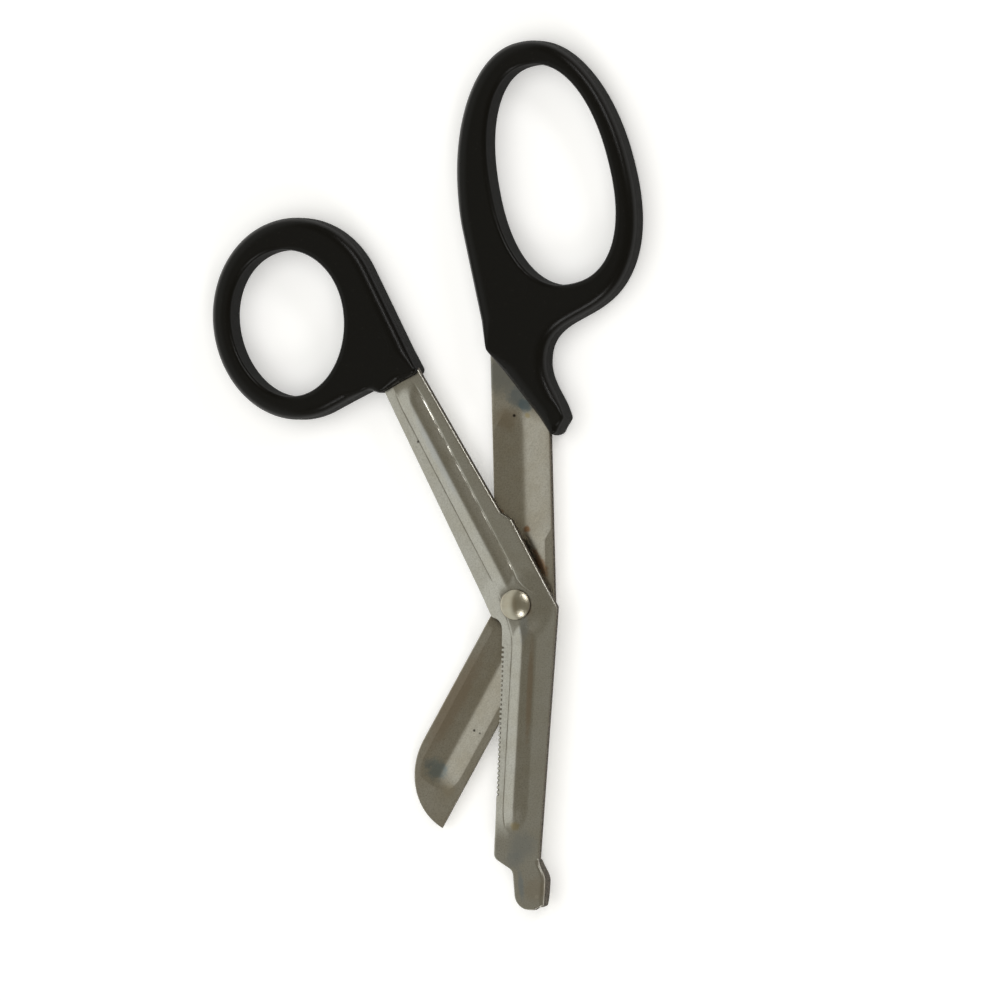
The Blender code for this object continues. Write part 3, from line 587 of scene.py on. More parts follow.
@dataclass(frozen=True)
class SteelFinish:
    """Stamped and tumbled stainless sheet with stains and rub marks, and painted shade on its side walls, in
    its notches and in some patches.
    """

    name: str
    clean: Colour
    brown: Colour
    roughness: float
    grain_turn: float
    edge: CutEdge
    stains_and_shade: tuple[ColourPatch, ...] = ()
    teeth: ToothRow | None = None
    fineness: float = 3200.0
    line_length: float = 420.0
    dimming: float = 0.68
    speckles: float = 0.55
    streaks: float = 0.25
    wear_width: float = 0.00025
    wear: float = 0.5
    brightening: float = 1.15
    # The side walls' colours: sheared steel, darkened further with painted shade
    torn_dark_with_shade: Colour = (0.02, 0.014, 0.009)
    torn_pale_with_shade: Colour = (0.12, 0.10, 0.075)
    torn_scale: tuple[float, float, float] = (2600.0, 2600.0, 900.0)
    # Painted shade for the recesses of the tooth notches
    notch_shade: Colour = (0.085, 0.07, 0.055)
    streak_roughness: float = 0.16
    worn_roughness: float = 0.06
    torn_roughness: float = 0.3
    torn_metallic: float = 0.05
    specular: float = 0.06

    def sheet(self, graph: Graph, place: Socket, lines: Socket, cloud: Socket) -> Socket:
        """Give the colour of the stained sheet, with its painted shade patches, before its edges wear.

        Args:
            graph: The material's graph.
            place: The Object coordinates.
            lines: The rub marks, from 0 to 1.
            cloud: Slow changes over the sheet, from 0 to 1.

        Returns:
            The colour's socket.
        """
        colour = graph.mix(graph.ramp(cloud, low=0.35, high=0.75), self.clean, self.brown)
        dim = tuple(self.dimming * value for value in self.brown)
        speckle = graph.ramp(graph.noise(place, scale=3000.0, detail=2.0, rough=0.7), low=0.38, high=0.72)
        colour = graph.mix(graph.times(speckle, self.speckles), colour, dim)
        streak = graph.ramp(lines, low=0.40, high=0.75)
        colour = graph.mix(graph.times(streak, self.streaks), colour, dim)
        for spot in self.stains_and_shade:
            colour = spot.lay(graph, place, colour)
        return colour

    def build(self) -> bpy.types.Material:
        """Make the material from its nodes."""
        material, graph, shader, place = start_material(self.name)
        grain = graph.turned(place, -self.grain_turn)
        rub = graph.use("rub_marks", Position=grain, Fineness=self.fineness, Length=self.line_length)
        lines = rub["Lines"]
        colour = self.sheet(graph, place, lines, rub["Cloud"])
        wear = graph.use("edge_wear", Position=place, Width=self.wear_width)["Edge"]
        bright = tuple(min(1.0, self.brightening * value) for value in self.clean)
        colour = graph.mix(graph.times(wear, self.wear), colour, bright)
        # The side walls are painted near-black and dull: partly rough sheared steel, partly painted shade
        side = graph.ramp(graph.upright(), low=0.30, high=0.62, bottom=self.edge.value, top=0.0)
        torn = graph.noise(graph.vector("MULTIPLY", place, self.torn_scale), scale=1.0, detail=3.0, rough=0.7)
        torn_grime_with_shade = graph.mix(graph.ramp(torn, low=0.35, high=0.65), self.torn_dark_with_shade, self.torn_pale_with_shade)
        colour = graph.mix(side, colour, torn_grime_with_shade)
        # Painted shade darkens every tooth notch
        if self.teeth:
            colour = graph.mix(self.teeth.notch_shade(graph, place), colour, self.notch_shade)
        rough = graph.plus(self.roughness, graph.swing(lines, self.streak_roughness))
        rough = graph.minus(rough, graph.times(wear, self.worn_roughness))
        rough = graph.plus(rough, graph.times(side, self.torn_roughness))
        metallic = graph.minus(1.0, graph.times(side, 1.0 - self.torn_metallic))
        height = graph.plus(graph.times(lines, 0.35), graph.times(graph.times(torn, side), 3.0))
        shader.inputs["Specular IOR Level"].default_value = self.specular
        graph.surface(shader, colour, rough, height, strength=0.6, metallic=metallic)
        return material


@dataclass(frozen=True)
class PlasticFinish:
    """Black moulded plastic with a parting line, worn rims and small scuffs."""

    name: str
    colour: Colour
    scuff: Colour
    roughness: float
    mark: Point
    mark_radius: float = 0.0046
    wall_roughness: float = 0.85
    flat_roughness: float = 0.12
    speckle_roughness: float = 0.08
    wear_width: float = 0.0006
    wear: float = 0.4
    specular: float = 0.2

    def build(self) -> bpy.types.Material:
        """Make the material from its nodes."""
        material, graph, shader, place = start_material(self.name)
        grain = graph.use("moulded_grain", Position=place, Grain=0.5, Waves=4.0)
        speckle = grain["Speckle"]
        wear = graph.use("edge_wear", Position=place, Width=self.wear_width)["Edge"]
        scuffs = graph.ramp(speckle, low=0.62, high=0.78)
        scuffs = graph.math("MAXIMUM", scuffs, graph.times(wear, self.wear))
        colour = graph.mix(scuffs, self.colour, self.scuff)
        upright = graph.upright()
        flat = self.roughness + self.flat_roughness
        rough = graph.ramp(upright, low=0.95, high=0.999, bottom=self.roughness, top=flat)
        rough = graph.plus(rough, graph.swing(speckle, self.speckle_roughness))
        wall = graph.fade(upright, low=0.0, high=0.6)
        rough = graph.plus(rough, graph.times(wall, self.wall_roughness - self.roughness))
        off = graph.math("ABSOLUTE", graph.minus(graph.part(place, 2), HANDLE_THICKNESS / 2))
        parting = graph.fade(off, low=0.00004, high=0.00012)
        across = graph.vector("MULTIPLY", graph.vector("SUBTRACT", place, (*self.mark, 0.0)), (1.0, 1.0, 0.0))
        away = graph.math("ABSOLUTE", graph.minus(graph.length(across), self.mark_radius))
        ring = graph.fade(away, low=0.00005, high=0.0002)
        height = graph.plus(grain["Height"], graph.times(parting, 6.0))
        height = graph.plus(height, graph.times(ring, 2.0))
        shader.inputs["Specular IOR Level"].default_value = self.specular
        graph.surface(shader, colour, rough, height, strength=0.45)
        return material


@dataclass(frozen=True)
class RivetFinish:
    """Polished rivet steel with light scratches and a hammered tail, a painted dark reflection down its dome
    and painted shade round the foot of its head.
    """

    name: str
    clean: Colour
    brown: Colour
    roughness: float
    fineness: float = 2600.0
    line_length: float = 1800.0
    # Painted shade round the foot of the head
    rim_shade_colour: Colour = (0.06, 0.045, 0.03)
    rim_shade_strength: float = 0.85
    rim_shade_levels: tuple[float, float] = (0.00022, 0.00044)
    tail_levels: tuple[float, float] = (0.0011, 0.0013)
    streak_roughness: float = 0.08

    def build(self) -> bpy.types.Material:
        """Make the material from its nodes."""
        material, graph, shader, place = start_material(self.name)
        rub = graph.use("rub_marks", Position=place, Fineness=self.fineness, Length=self.line_length)
        lines = rub["Lines"]
        colour = graph.mix(graph.ramp(rub["Cloud"], low=0.4, high=0.8), self.clean, self.brown)
        # A painted dark reflection: a brown band down the middle of the polished dome
        painted_dark_reflection = ColourPatch(PIVOT[0] + 0.0002, PIVOT[1], 0.0007, self.brown, 0.5, 0.6, length=0.0030, turn=8.0)
        colour = painted_dark_reflection.lay(graph, place, colour)
        level = graph.part(place, 2)
        # Painted shade: darker towards the foot of the head, where it meets the blade
        rim = graph.fade(level, *(RIVET_SEAT + rise for rise in self.rim_shade_levels))
        colour = graph.mix(graph.times(rim, self.rim_shade_strength), colour, self.rim_shade_colour)
        rough = graph.plus(self.roughness, graph.swing(lines, self.streak_roughness))
        dents = graph.node("TexVoronoi", {"Vector": place, "Scale": 1500.0}).outputs[0]
        hammered = graph.times(graph.times(dents, graph.fade(level, *self.tail_levels)), 8.0)
        height = graph.plus(graph.times(lines, 0.2), hammered)
        graph.surface(shader, colour, rough, height, strength=0.5, metallic=1.0)
        return material


# Blades


@dataclass(frozen=True)
class Arm:
    """One half of the scissors: how it leans and how its blade bends."""

    body: str
    lean: float
    bend: float

    def on_blade(self, across: float, down: float) -> np.ndarray:
        """Give the place of a point of the bent blade in the shank's frame."""
        return rotated(np.array((across, -down)), -self.bend)

    def world(self, points: np.ndarray) -> np.ndarray:
        """Give the world x and y of points in the shank's frame."""
        return rotated(points, self.lean) + PIVOT


@dataclass
class Station:
    """One cross-section of a blade, on a straight line across it."""

    origin: np.ndarray
    way: np.ndarray
    along: float
    left: float = 0.0
    right: float = 0.0
    notch: float = 0.0


@dataclass
class Rim:
    """The right edge of a cross-section: its roundings, wall and slope."""

    radius: float
    wall: float
    lowest: float = math.nan
    slope: float = 0.0


@dataclass
class Ridge:
    """A long ridge pressed out of a blade, about the blade's middle line."""

    shank_middle: float
    blade_middle: float
    mouth_half: float
    shank_half: float
    blade_half: float
    top: float
    end: float
    narrowing: tuple[float, float]
    crest: float = 0.25
    height: float = 0.0008
    rise_length: float = 0.0060
    taper: float = 0.0045
    tip_share: float = 0.4
    end_power: float = 1.0
    groove_depth: float = 0.00007
    groove_width: float = 0.00012
    left_groove: float = 1.0
    crease: tuple[tuple[float, float], ...] = ((0.0, 0.0),)
    flare: tuple[tuple[float, float], ...] = ((0.0, 0.0),)
    wave_rate: float = 600.0
    wave_place: tuple[float, float] = (700.0, 0.3)
    wave_reach: float = 1.5
    wave_calm: float = 1.6
    wave_highest: float = 1.3
    left_wave: float = 0.5
    seat_radius: float = 0.0036
    seat_foot: float = 0.0046
    seat_extra: float = 0.00005
    blend: float = 0.00008

    def foot(self, along: float) -> float:
        """Give how fully the ridge stands up near its rounded lower end."""
        share = min(1.0, max(0.0, (self.end - along) / self.taper))
        return math.sqrt(share * (2 - share))

    def strength(self, along: float) -> float:
        """Give how fully the ridge stands up at a place along the blade."""
        share = min(1.0, max(0.0, (along + self.top) / self.rise_length))
        return min(math.sin(math.pi / 2 * share) ** 2, self.foot(along) ** self.end_power)

    def half(self, along: float) -> float:
        """Give the ridge's half width at a place along the blade."""
        places = (-self.top, -self.top + self.rise_length, *self.narrowing)
        widths = (self.mouth_half, self.shank_half, self.shank_half, self.blade_half)
        width = float(np.interp(along, places, widths))
        return width * (self.tip_share + (1 - self.tip_share) * self.foot(along))

    def crease_foot(self, along: float) -> float:
        """Give how far right of the middle the right crease runs at a place."""
        return self.half(along) + float(np.interp(along, *zip(*self.flare)))

    def groove(self, along: float, across: np.ndarray) -> np.ndarray:
        """Give how deep the crease at each foot of the ridge is, across one station."""
        shift, level = self.wave_place
        wave = noise.noise(Vector((along * self.wave_rate, self.shank_half * shift, level)))
        right = float(np.interp(along, *zip(*self.crease)))
        right *= min(self.wave_highest, max(0.0, 1 + self.wave_reach * (self.wave_calm - right) * wave))
        side = np.where(across > 0, right, self.left_groove * (1 + self.left_wave * wave))
        foot = np.where(across > 0, self.crease_foot(along), self.half(along))
        near = np.exp(-(((np.abs(across) - foot) / self.groove_width) ** 2))
        return self.groove_depth * side * near * min(1.0, 3 * self.strength(along))

    def rise(self, along: float, across: np.ndarray, points: np.ndarray) -> np.ndarray:
        """Give the height of the pressing across one station.

        Args:
            along: The station's place along the blade.
            across: Distances from the ridge's middle.
            points: The same places in the shank's frame.

        Returns:
            Heights out of the sheet, in metres.
        """
        share = np.clip(np.abs(across) / self.half(along), 0, 1)
        top = math.sqrt(1 + self.crest**2) - self.crest
        roof = 1 - (np.sqrt(share**2 + self.crest**2) - self.crest) / top
        pressed = self.height * self.strength(along) * roof
        from_rivet = np.hypot(points[:, 0], points[:, 1])
        edge = np.clip((self.seat_radius + self.seat_foot - from_rivet) / self.seat_foot, 0, 1)
        seat = (self.height + self.seat_extra) * edge * edge * (3 - 2 * edge)
        higher = (pressed + seat + np.sqrt((pressed - seat) ** 2 + self.blend**2) - self.blend) / 2
        return higher - self.groove(along, across)


@dataclass
class Blade:
    """A stamped blade with its shank, as a skin over many cross-sections."""

    arm: Arm
    ridge: Ridge
    side: Side
    inner: float
    mouth: float
    fan: float = 0.009
    edge_radius: float = 0.00016
    notch_foot: float = 0.3
    ridge_columns: int = 11
    flange_columns: int = 8
    groove_columns: int = 7
    groove_reach: float = 2.2
    bend_steps: int = 72
    row_step: float = 0.0004
    row_margin: float = 0.00001
    corner_points: int = 5
    front_points: int = 7
    front_share: float = 0.55
    foot_share: float = 0.4
    wall_shares: tuple[float, ...] = (0.33, 0.67, 1.0)
    hook_shares: tuple[float, ...] = (0.0, 0.5, 1.0)
    smooth_angle: float = 50.0

    def outline(self) -> np.ndarray:
        """Give the blade's outline in the shank's frame."""
        raise NotImplementedError

    def shank_rows(self) -> np.ndarray:
        """Give the heights of the shank's stations, from the top down."""
        raise NotImplementedError

    def blade_rows(self) -> np.ndarray:
        """Give the places of the blade's stations, from the bend down."""
        raise NotImplementedError

    def stations(self) -> list[Station]:
        """Lay the stations down the shank, round the bend and down the blade."""
        rows = [Station(np.array((self.ridge.shank_middle, y)), ACROSS, -y) for y in self.shank_rows()]
        start = np.array((self.ridge.shank_middle, self.fan))
        end = self.arm.on_blade(self.ridge.blade_middle, self.fan)
        blade_way = rotated(ACROSS, -self.arm.bend)
        down_way = rotated(UP, -self.arm.bend)
        corner = line_meeting(start, UP, end, down_way)
        for step in range(1, self.bend_steps):
            share = step / self.bend_steps
            origin = start * (1 - share) ** 2 + corner * 2 * share * (1 - share) + end * share**2
            tangent = (corner - start) * (1 - share) + (end - corner) * share
            tangent /= np.linalg.norm(tangent)
            way = np.array((-tangent[1], tangent[0]))
            rows.append(Station(origin, way, self.fan * (2 * share - 1)))
        for down in self.blade_rows():
            rows.append(Station(self.arm.on_blade(self.ridge.blade_middle, down), blade_way, down))
        outline = self.outline()
        for row in rows:
            row.left, row.right = span(outline, row.origin, row.way)
        return rows

    def columns(self, low: float, high: float, half: float, crease: float) -> np.ndarray:
        """Spread a station's points so that they follow the ridge.

        Args:
            low: The lowest distance across, at the left edge.
            high: The highest distance across, at the right edge.
            half: The ridge's half width.
            crease: The place of the right crease.

        Returns:
            Distances across, in rising order.
        """
        groove = self.ridge.groove_width * self.groove_reach
        foot = np.linspace(-groove, groove, self.groove_columns)
        slope = np.linspace(0, 1, self.ridge_columns + 1)[1:-1]
        inner = half - groove
        parts = [
            np.linspace(low, -half - groove, self.flange_columns + 1)[:-1],
            -half + foot,
            -inner + inner * slope,
            (0.0,),
            (crease - groove) * slope,
            crease + foot,
            np.linspace(crease + groove, high, self.flange_columns + 1)[1:],
        ]
        return np.clip(np.concatenate(parts), low, high)

    def faces(self, row: Station, across: np.ndarray, points: np.ndarray) -> tuple[np.ndarray, np.ndarray]:
        """Give the heights of the front and back faces across a station."""
        rise = self.side.value * self.ridge.rise(row.along, across, points)
        if self.side is Side.FRONT:
            return self.inner + SHEET + rise, self.inner + rise
        return self.inner + rise, self.inner - SHEET + rise

    def right_rim(self, row: Station) -> Rim:
        """Give the shape of the right edge."""
        return Rim(self.edge_radius, self.edge_radius)

    def end_rounding(self, row: Station) -> float:
        """Give how far both faces draw in near the blade's very end."""
        return 0.0

    def ring(self, row: Station) -> np.ndarray:
        """Lay the closed ring of points of one cross-section.

        Args:
            row: The station to lay the ring on.

        Returns:
            Rows of world x, y and z.
        """
        rim = self.right_rim(row)
        radius = min(self.edge_radius, (row.right - row.left) / 4)
        front_radius = min(rim.radius, (row.right - row.left) / 3)
        half, crease = self.ridge.half(row.along), self.ridge.crease_foot(row.along)
        draw = self.end_rounding(row)
        sides = []
        for left in (row.left + row.notch, row.left + self.notch_foot * row.notch):
            across = self.columns(left + radius, row.right - front_radius, half, crease)
            front, back = self.faces(row, across, row.origin + across[:, None] * row.way)
            sides.append((left, across, front - draw, back + draw))
        (left, across, front, _), (back_left, back_across, _, back) = sides
        radius = min(radius, (front[0] - back[0]) / 2.2)
        quarter = quarter_turn(self.corner_points)
        section = [(left + radius * grown, front[0] - radius * shrunk) for grown, shrunk in quarter[:-1]]
        section += list(zip(across, front))
        bottom = back[-1] if math.isnan(rim.lowest) else rim.lowest
        round_front = min(front_radius, (front[-1] - bottom) * self.front_share)
        for grown, shrunk in quarter_turn(self.front_points)[1:]:
            section.append((row.right - front_radius * shrunk, front[-1] - round_front * grown))
        small = min(self.edge_radius, (front[-1] - bottom) * self.foot_share)
        wall_top, wall_foot = front[-1] - round_front, bottom + small
        foot = row.right - rim.slope * (wall_top - wall_foot)
        for share in self.wall_shares:
            wall = wall_top + (wall_foot - wall_top) * share
            section.append((row.right + (foot - row.right) * share, wall))
        section += [(foot - small * grown, bottom + small * shrunk) for grown, shrunk in quarter[1:]]
        inside = foot - max(rim.wall, small)
        hook = 0.0 if math.isnan(rim.lowest) else back[-1] - bottom
        section += [(inside, bottom + hook * share) for share in self.hook_shares]
        section += [(min(side, inside), z) for side, z in zip(back_across[::-1], back[::-1])]
        section += [(back_left + radius * shrunk, back[0] + radius * grown) for grown, shrunk in quarter[1:]]
        flat = np.array(section)
        place = self.arm.world(row.origin + flat[:, :1] * row.way)
        return np.column_stack((place, flat[:, 1]))

    def build(self, name: str, node: str) -> bpy.types.Object:
        """Make the blade and let it stand for its CAD node.

        Args:
            name: The piece's name.
            node: The CAD node that it replaces.

        Returns:
            The finished piece.
        """
        rings = np.array([self.ring(row) for row in self.stations()])
        piece = skin(name, rings)
        drill(piece, PIVOT, RIVET_HOLE)
        shade(piece, self.smooth_angle)
        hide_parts(node)
        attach(piece, self.arm.body)
        return piece


@dataclass
class LowerBlade(Blade):
    """The front blade, with teeth, a blunt nose and a guard folded back."""

    left_top: float = 0.0039
    left_pivot: float = 0.0061
    right_top: float = 0.0047
    right_step: float = 0.0061
    step_height: float = 0.0188
    step_drop: float = 0.0025
    step_width: float = 0.0014
    edge_top: float = 0.0029
    edge_tip: float = 0.00195
    back_top: float = 0.0088
    back_tip: float = 0.0079
    edge_start: float = 0.0078
    edge_end: float = 0.0536
    back_end: float = 0.0535
    notch_radius: float = 0.0022
    nose_left: float = 0.00225
    nose_left_start: float = 0.0560
    nose_left_end: float = 0.0034
    nose_start: float = 0.0565
    nose_end: float = 0.0641
    nose_radius: float = 0.0034
    bulge: float = 0.0016
    guard_start: float = 0.0532
    guard_end: float = 0.0634
    guard_radius: float = 0.0009
    guard_power: float = 2.2
    guard_swell: float = 2.2
    guard_slope: float = 0.067
    tooth_pitch: float = 0.0010
    tooth_depth: float = 0.00036
    tooth_half: float = 0.00034
    teeth_start: float = 0.0092
    teeth_end: float = 0.0405
    flange_tilt: float = 0.19
    flange_fade: tuple[float, float] = (0.044, 0.050)
    shank_rim: float = 0.0004
    shank_rim_fade: tuple[float, float] = (-0.002, 0.004)
    tang: float = 0.003
    bend_level: float = 0.0003
    bend_radius: float = 0.0009
    step_radius: float = 0.0003
    first_row: float = 0.0029
    step_rows: tuple[float, float] = (0.0196, 0.0156)
    shank_step: float = 0.00045
    step_step: float = 0.00013
    close_rows: float = 0.0500
    close_step: float = 0.00016
    row_gap: float = 0.0001
    guard_rows: int = 70
    nose_rows: int = 12
    nose_turns: tuple[float, float] = (12.0, 88.0)
    nose_reach: float = 0.0006
    end_reach: float = 0.0003

    def outline(self) -> np.ndarray:
        """Give the blade's outline in the shank's frame."""
        at = self.arm.on_blade
        step_side = self.right_step + self.step_width
        back_way = at(self.back_tip, self.back_end) - at(self.back_top, 0)
        back_corner = line_meeting(np.array((step_side, 0)), UP, at(self.back_top, 0), back_way)
        nose_right = self.back_tip + self.bulge - self.guard_radius
        top = self.mouth + self.tang
        blade = (
            (-self.edge_top, self.edge_start - 2 * self.notch_radius, self.notch_radius),
            (-self.edge_top, self.edge_start, 0),
            (-self.edge_tip, self.edge_end, self.nose_radius / 2),
            (self.nose_left, self.nose_left_start, self.nose_radius / 2),
            (self.nose_left_end, self.nose_end, self.nose_radius),
            (nose_right, self.nose_end, self.nose_radius / 2),
            (nose_right, self.nose_start, self.nose_radius),
            (self.back_tip, self.back_end, self.nose_radius / 2),
        )
        return rounded_outline([
            ((-self.left_top, top), 0),
            ((-self.left_pivot, self.bend_level), self.bend_radius),
            *((tuple(at(across, down)), radius) for across, down, radius in blade),
            (tuple(back_corner), self.bend_radius),
            ((step_side, self.step_height - self.step_drop), self.step_radius),
            ((self.right_step, self.step_height), self.step_radius),
            ((self.right_top, top), 0),
        ])

    def shank_rows(self) -> np.ndarray:
        """Give the heights of the shank's stations, from the top down."""
        top, foot = self.step_rows
        return np.concatenate((
            np.arange(self.mouth + self.first_row, top, -self.shank_step),
            np.arange(top, foot, -self.step_step),
            np.arange(foot, self.fan - self.row_margin, -self.row_step),
        ))

    def blade_rows(self) -> np.ndarray:
        """Give the places of the blade's stations, from the bend down."""
        teeth = []
        for number in range(int((self.teeth_end - self.teeth_start) / self.tooth_pitch) + 1):
            middle = self.teeth_start + number * self.tooth_pitch
            teeth += [middle + share * self.tooth_half for share in (-1, -0.5, 0, 0.5, 1)]
            teeth.append(middle + self.tooth_pitch / 2)
        guard = (self.guard_end - self.guard_start) * (1 - np.cos(np.linspace(0, np.pi, self.guard_rows))) / 2
        turns = np.radians(np.linspace(*self.nose_turns, self.nose_rows))
        nose = self.nose_end - self.nose_reach * np.cos(turns)
        return np.concatenate((
            [self.fan],
            [tooth for tooth in teeth if tooth > self.fan + self.row_gap],
            np.arange(teeth[-1] + self.row_step, self.close_rows, self.row_step),
            np.arange(self.close_rows, self.guard_start - self.row_gap, self.close_step),
            self.guard_start + guard,
            nose[nose > self.guard_end],
        ))

    def stations(self) -> list[Station]:
        """Lay the stations, with the teeth notched into the left edge."""
        rows = super().stations()
        for row in rows:
            row.notch = self.notch(row.along)
            fullness = min(1.0, 2 * self.guard_fullness(row.along))
            share = min(1.0, max(0.0, self.guard_swell * self.guard_share(row.along)))
            swell = math.sin(math.pi / 2 * share) ** 2
            outer = self.back_tip + self.bulge * swell - self.ridge.blade_middle
            row.right += max(0.0, outer - row.right) * fullness
        return rows

    def notch(self, along: float) -> float:
        """Give how deep the teeth are cut in at a place along the blade."""
        if not self.teeth_start - self.tooth_half <= along <= self.teeth_end + self.tooth_half:
            return 0.0
        number = round((along - self.teeth_start) / self.tooth_pitch)
        off = abs(along - self.teeth_start - number * self.tooth_pitch) / self.tooth_half
        return self.tooth_depth * max(0.0, 1 - off)

    def guard_share(self, along: float) -> float:
        """Give how far along the guard a place lies, from 0 to 1."""
        return (along - self.guard_start) / (self.guard_end - self.guard_start)

    def guard_fullness(self, along: float) -> float:
        """Give how far the guard is folded back at a place, from 0 to 1."""
        off = min(1.0, abs(2 * self.guard_share(along) - 1))
        return (1 - off**self.guard_power) ** (1 / self.guard_power)

    def right_rim(self, row: Station) -> Rim:
        """Give the shape of the right edge, which the guard folds back."""
        fullness = self.guard_fullness(row.along)
        if fullness == 0:
            radius = float(np.interp(row.along, self.shank_rim_fade, (self.shank_rim, self.edge_radius)))
            return Rim(radius, self.edge_radius)
        radius = self.edge_radius + (self.guard_radius - self.edge_radius) * min(1.0, 1.6 * fullness)
        wall = self.edge_radius + (SHEET - self.edge_radius) * min(1.0, 2 * fullness)
        return Rim(radius, wall, self.inner * (1 - fullness), self.guard_slope * fullness)

    def end_rounding(self, row: Station) -> float:
        """Give how far both faces draw in near the nose's very end."""
        near = (row.along - (self.nose_end - self.end_reach)) / self.end_reach
        return 0.0 if near <= 0 else self.end_reach * (1 - math.sqrt(max(0.0, 1 - near**2)))

    def faces(self, row: Station, across: np.ndarray, points: np.ndarray) -> tuple[np.ndarray, np.ndarray]:
        """Give the face heights, with the left flange ground at a slant."""
        front, back = super().faces(row, across, points)
        half = self.ridge.half(row.along)
        fade = float(np.interp(row.along, self.flange_fade, (1.0, 0.0)))
        slant = self.flange_tilt * np.clip(-across - half, 0, None) * fade
        return front - slant, back


@dataclass
class UpperBlade(Blade):
    """The rear blade, with a wide channel and a rounded point."""

    left: float = 0.00495
    right: float = 0.00765
    spine: float = 0.0043
    edge: float = 0.00845
    spine_end: float = 0.0350
    tip: float = 0.0493
    corner_radius: float = 0.0030
    tang_right: float = 0.0052
    mouth_right: float = 0.0377
    bevel_width: float = 0.0011
    bevel_fade: float = 0.003
    edge_land: float = 0.0003
    edge_start: float = 0.0080
    tang_rise: float = 0.0033
    tip_corners: int = 60
    tip_rows: int = 90
    tip_turn: float = 88.6
    row_gap: float = 0.0001

    def outline(self) -> np.ndarray:
        """Give the blade's outline in the shank's frame."""
        at = self.arm.on_blade
        blade_way = rotated(UP, -self.arm.bend)
        left_corner = line_meeting(np.array((-self.left, 0)), UP, at(-self.spine, 0), blade_way)
        right_corner = line_meeting(np.array((self.right, 0)), UP, at(self.edge, 0), blade_way)
        corners: list[Corner] = [((-self.left, self.mouth), 0), (tuple(left_corner), self.corner_radius)]
        for angle in np.radians(np.linspace(0, 90, self.tip_corners)):
            across = self.edge - (self.edge + self.spine) * math.cos(angle)
            down = self.spine_end + (self.tip - self.spine_end) * math.sin(angle)
            corners.append((tuple(at(across, down)), 0))
        corners += [
            (tuple(right_corner), self.corner_radius),
            ((self.right, self.mouth_right), 0),
            ((self.tang_right, self.mouth_right + self.tang_rise), 0),
            ((self.tang_right, self.mouth), 0),
        ]
        return rounded_outline(corners)

    def shank_rows(self) -> np.ndarray:
        """Give the heights of the shank's stations, from the top down."""
        return np.arange(self.mouth - self.row_gap, self.fan - self.row_margin, -self.row_step)

    def blade_rows(self) -> np.ndarray:
        """Give the places of the blade's stations, from the bend down."""
        straight = np.arange(self.fan, self.spine_end, self.row_step)
        curve = np.sin(np.radians(np.linspace(0, self.tip_turn, self.tip_rows)))
        return np.concatenate((straight, self.spine_end + (self.tip - self.spine_end) * curve))

    def faces(self, row: Station, across: np.ndarray, points: np.ndarray) -> tuple[np.ndarray, np.ndarray]:
        """Give the face heights, with the cutting edge ground from the back."""
        front, back = super().faces(row, across, points)
        if row.along < self.edge_start:
            return front, back
        fade = min(1.0, (row.along - self.edge_start) / self.bevel_fade)
        near = np.clip(1 - (row.right - across) / self.bevel_width, 0, 1)
        return front, np.minimum(back + (SHEET - self.edge_land) * near * fade, front - self.edge_land)


# Handles


@dataclass(frozen=True)
class Oval:
    """An egg-shaped oval that may be slightly squared."""

    x: float
    y: float
    half_length: float
    half_width: float
    tilt: float
    egg: float = 0.0
    square: float = 2.0

    def points(self, count: int) -> np.ndarray:
        """Give points round the oval, counter-clockwise from its right."""
        angle = 2 * np.pi * np.arange(count) / count
        cos, sin = np.cos(angle), np.sin(angle)
        up = np.sign(sin) * np.abs(sin) ** (2 / self.square)
        across = np.sign(cos) * np.abs(cos) ** (2 / self.square) * (1 + self.egg * up)
        shape = np.column_stack((self.half_width * across, self.half_length * up))
        return rotated(shape, self.tilt) + np.array((self.x, self.y))


def tangent_index(points: np.ndarray, corner: Point, side: int) -> int:
    """Find the point of an oval that a straight side from a corner touches.

    Args:
        points: The oval's points.
        corner: Where the side starts.
        side: 1 where the oval lies to the side's left, and -1 to its right.

    Returns:
        The point's index.
    """
    middle = Vector(points.mean(axis=0)) - Vector(corner)
    turns = [side * middle.angle_signed(Vector(point) - Vector(corner)) for point in points]
    return int(np.argmax(turns))


def arc_between(points: np.ndarray, first: int, last: int) -> list[Point]:
    """Give the points of a closed outline from one index round to another."""
    count = (last - first) % len(points) + 1
    return [tuple(points[(first + step) % len(points)]) for step in range(count)]


def bezier(start: Vector, pull: Vector, end_pull: Vector, end: Vector, steps: int) -> list[Point]:
    """Give the inner points of a cubic curve between two points."""
    points = []
    for step in range(1, steps):
        t = step / steps
        s = 1 - t
        points.append(tuple(start * s**3 + pull * 3 * s * s * t + end_pull * 3 * s * t * t + end * t**3))
    return points


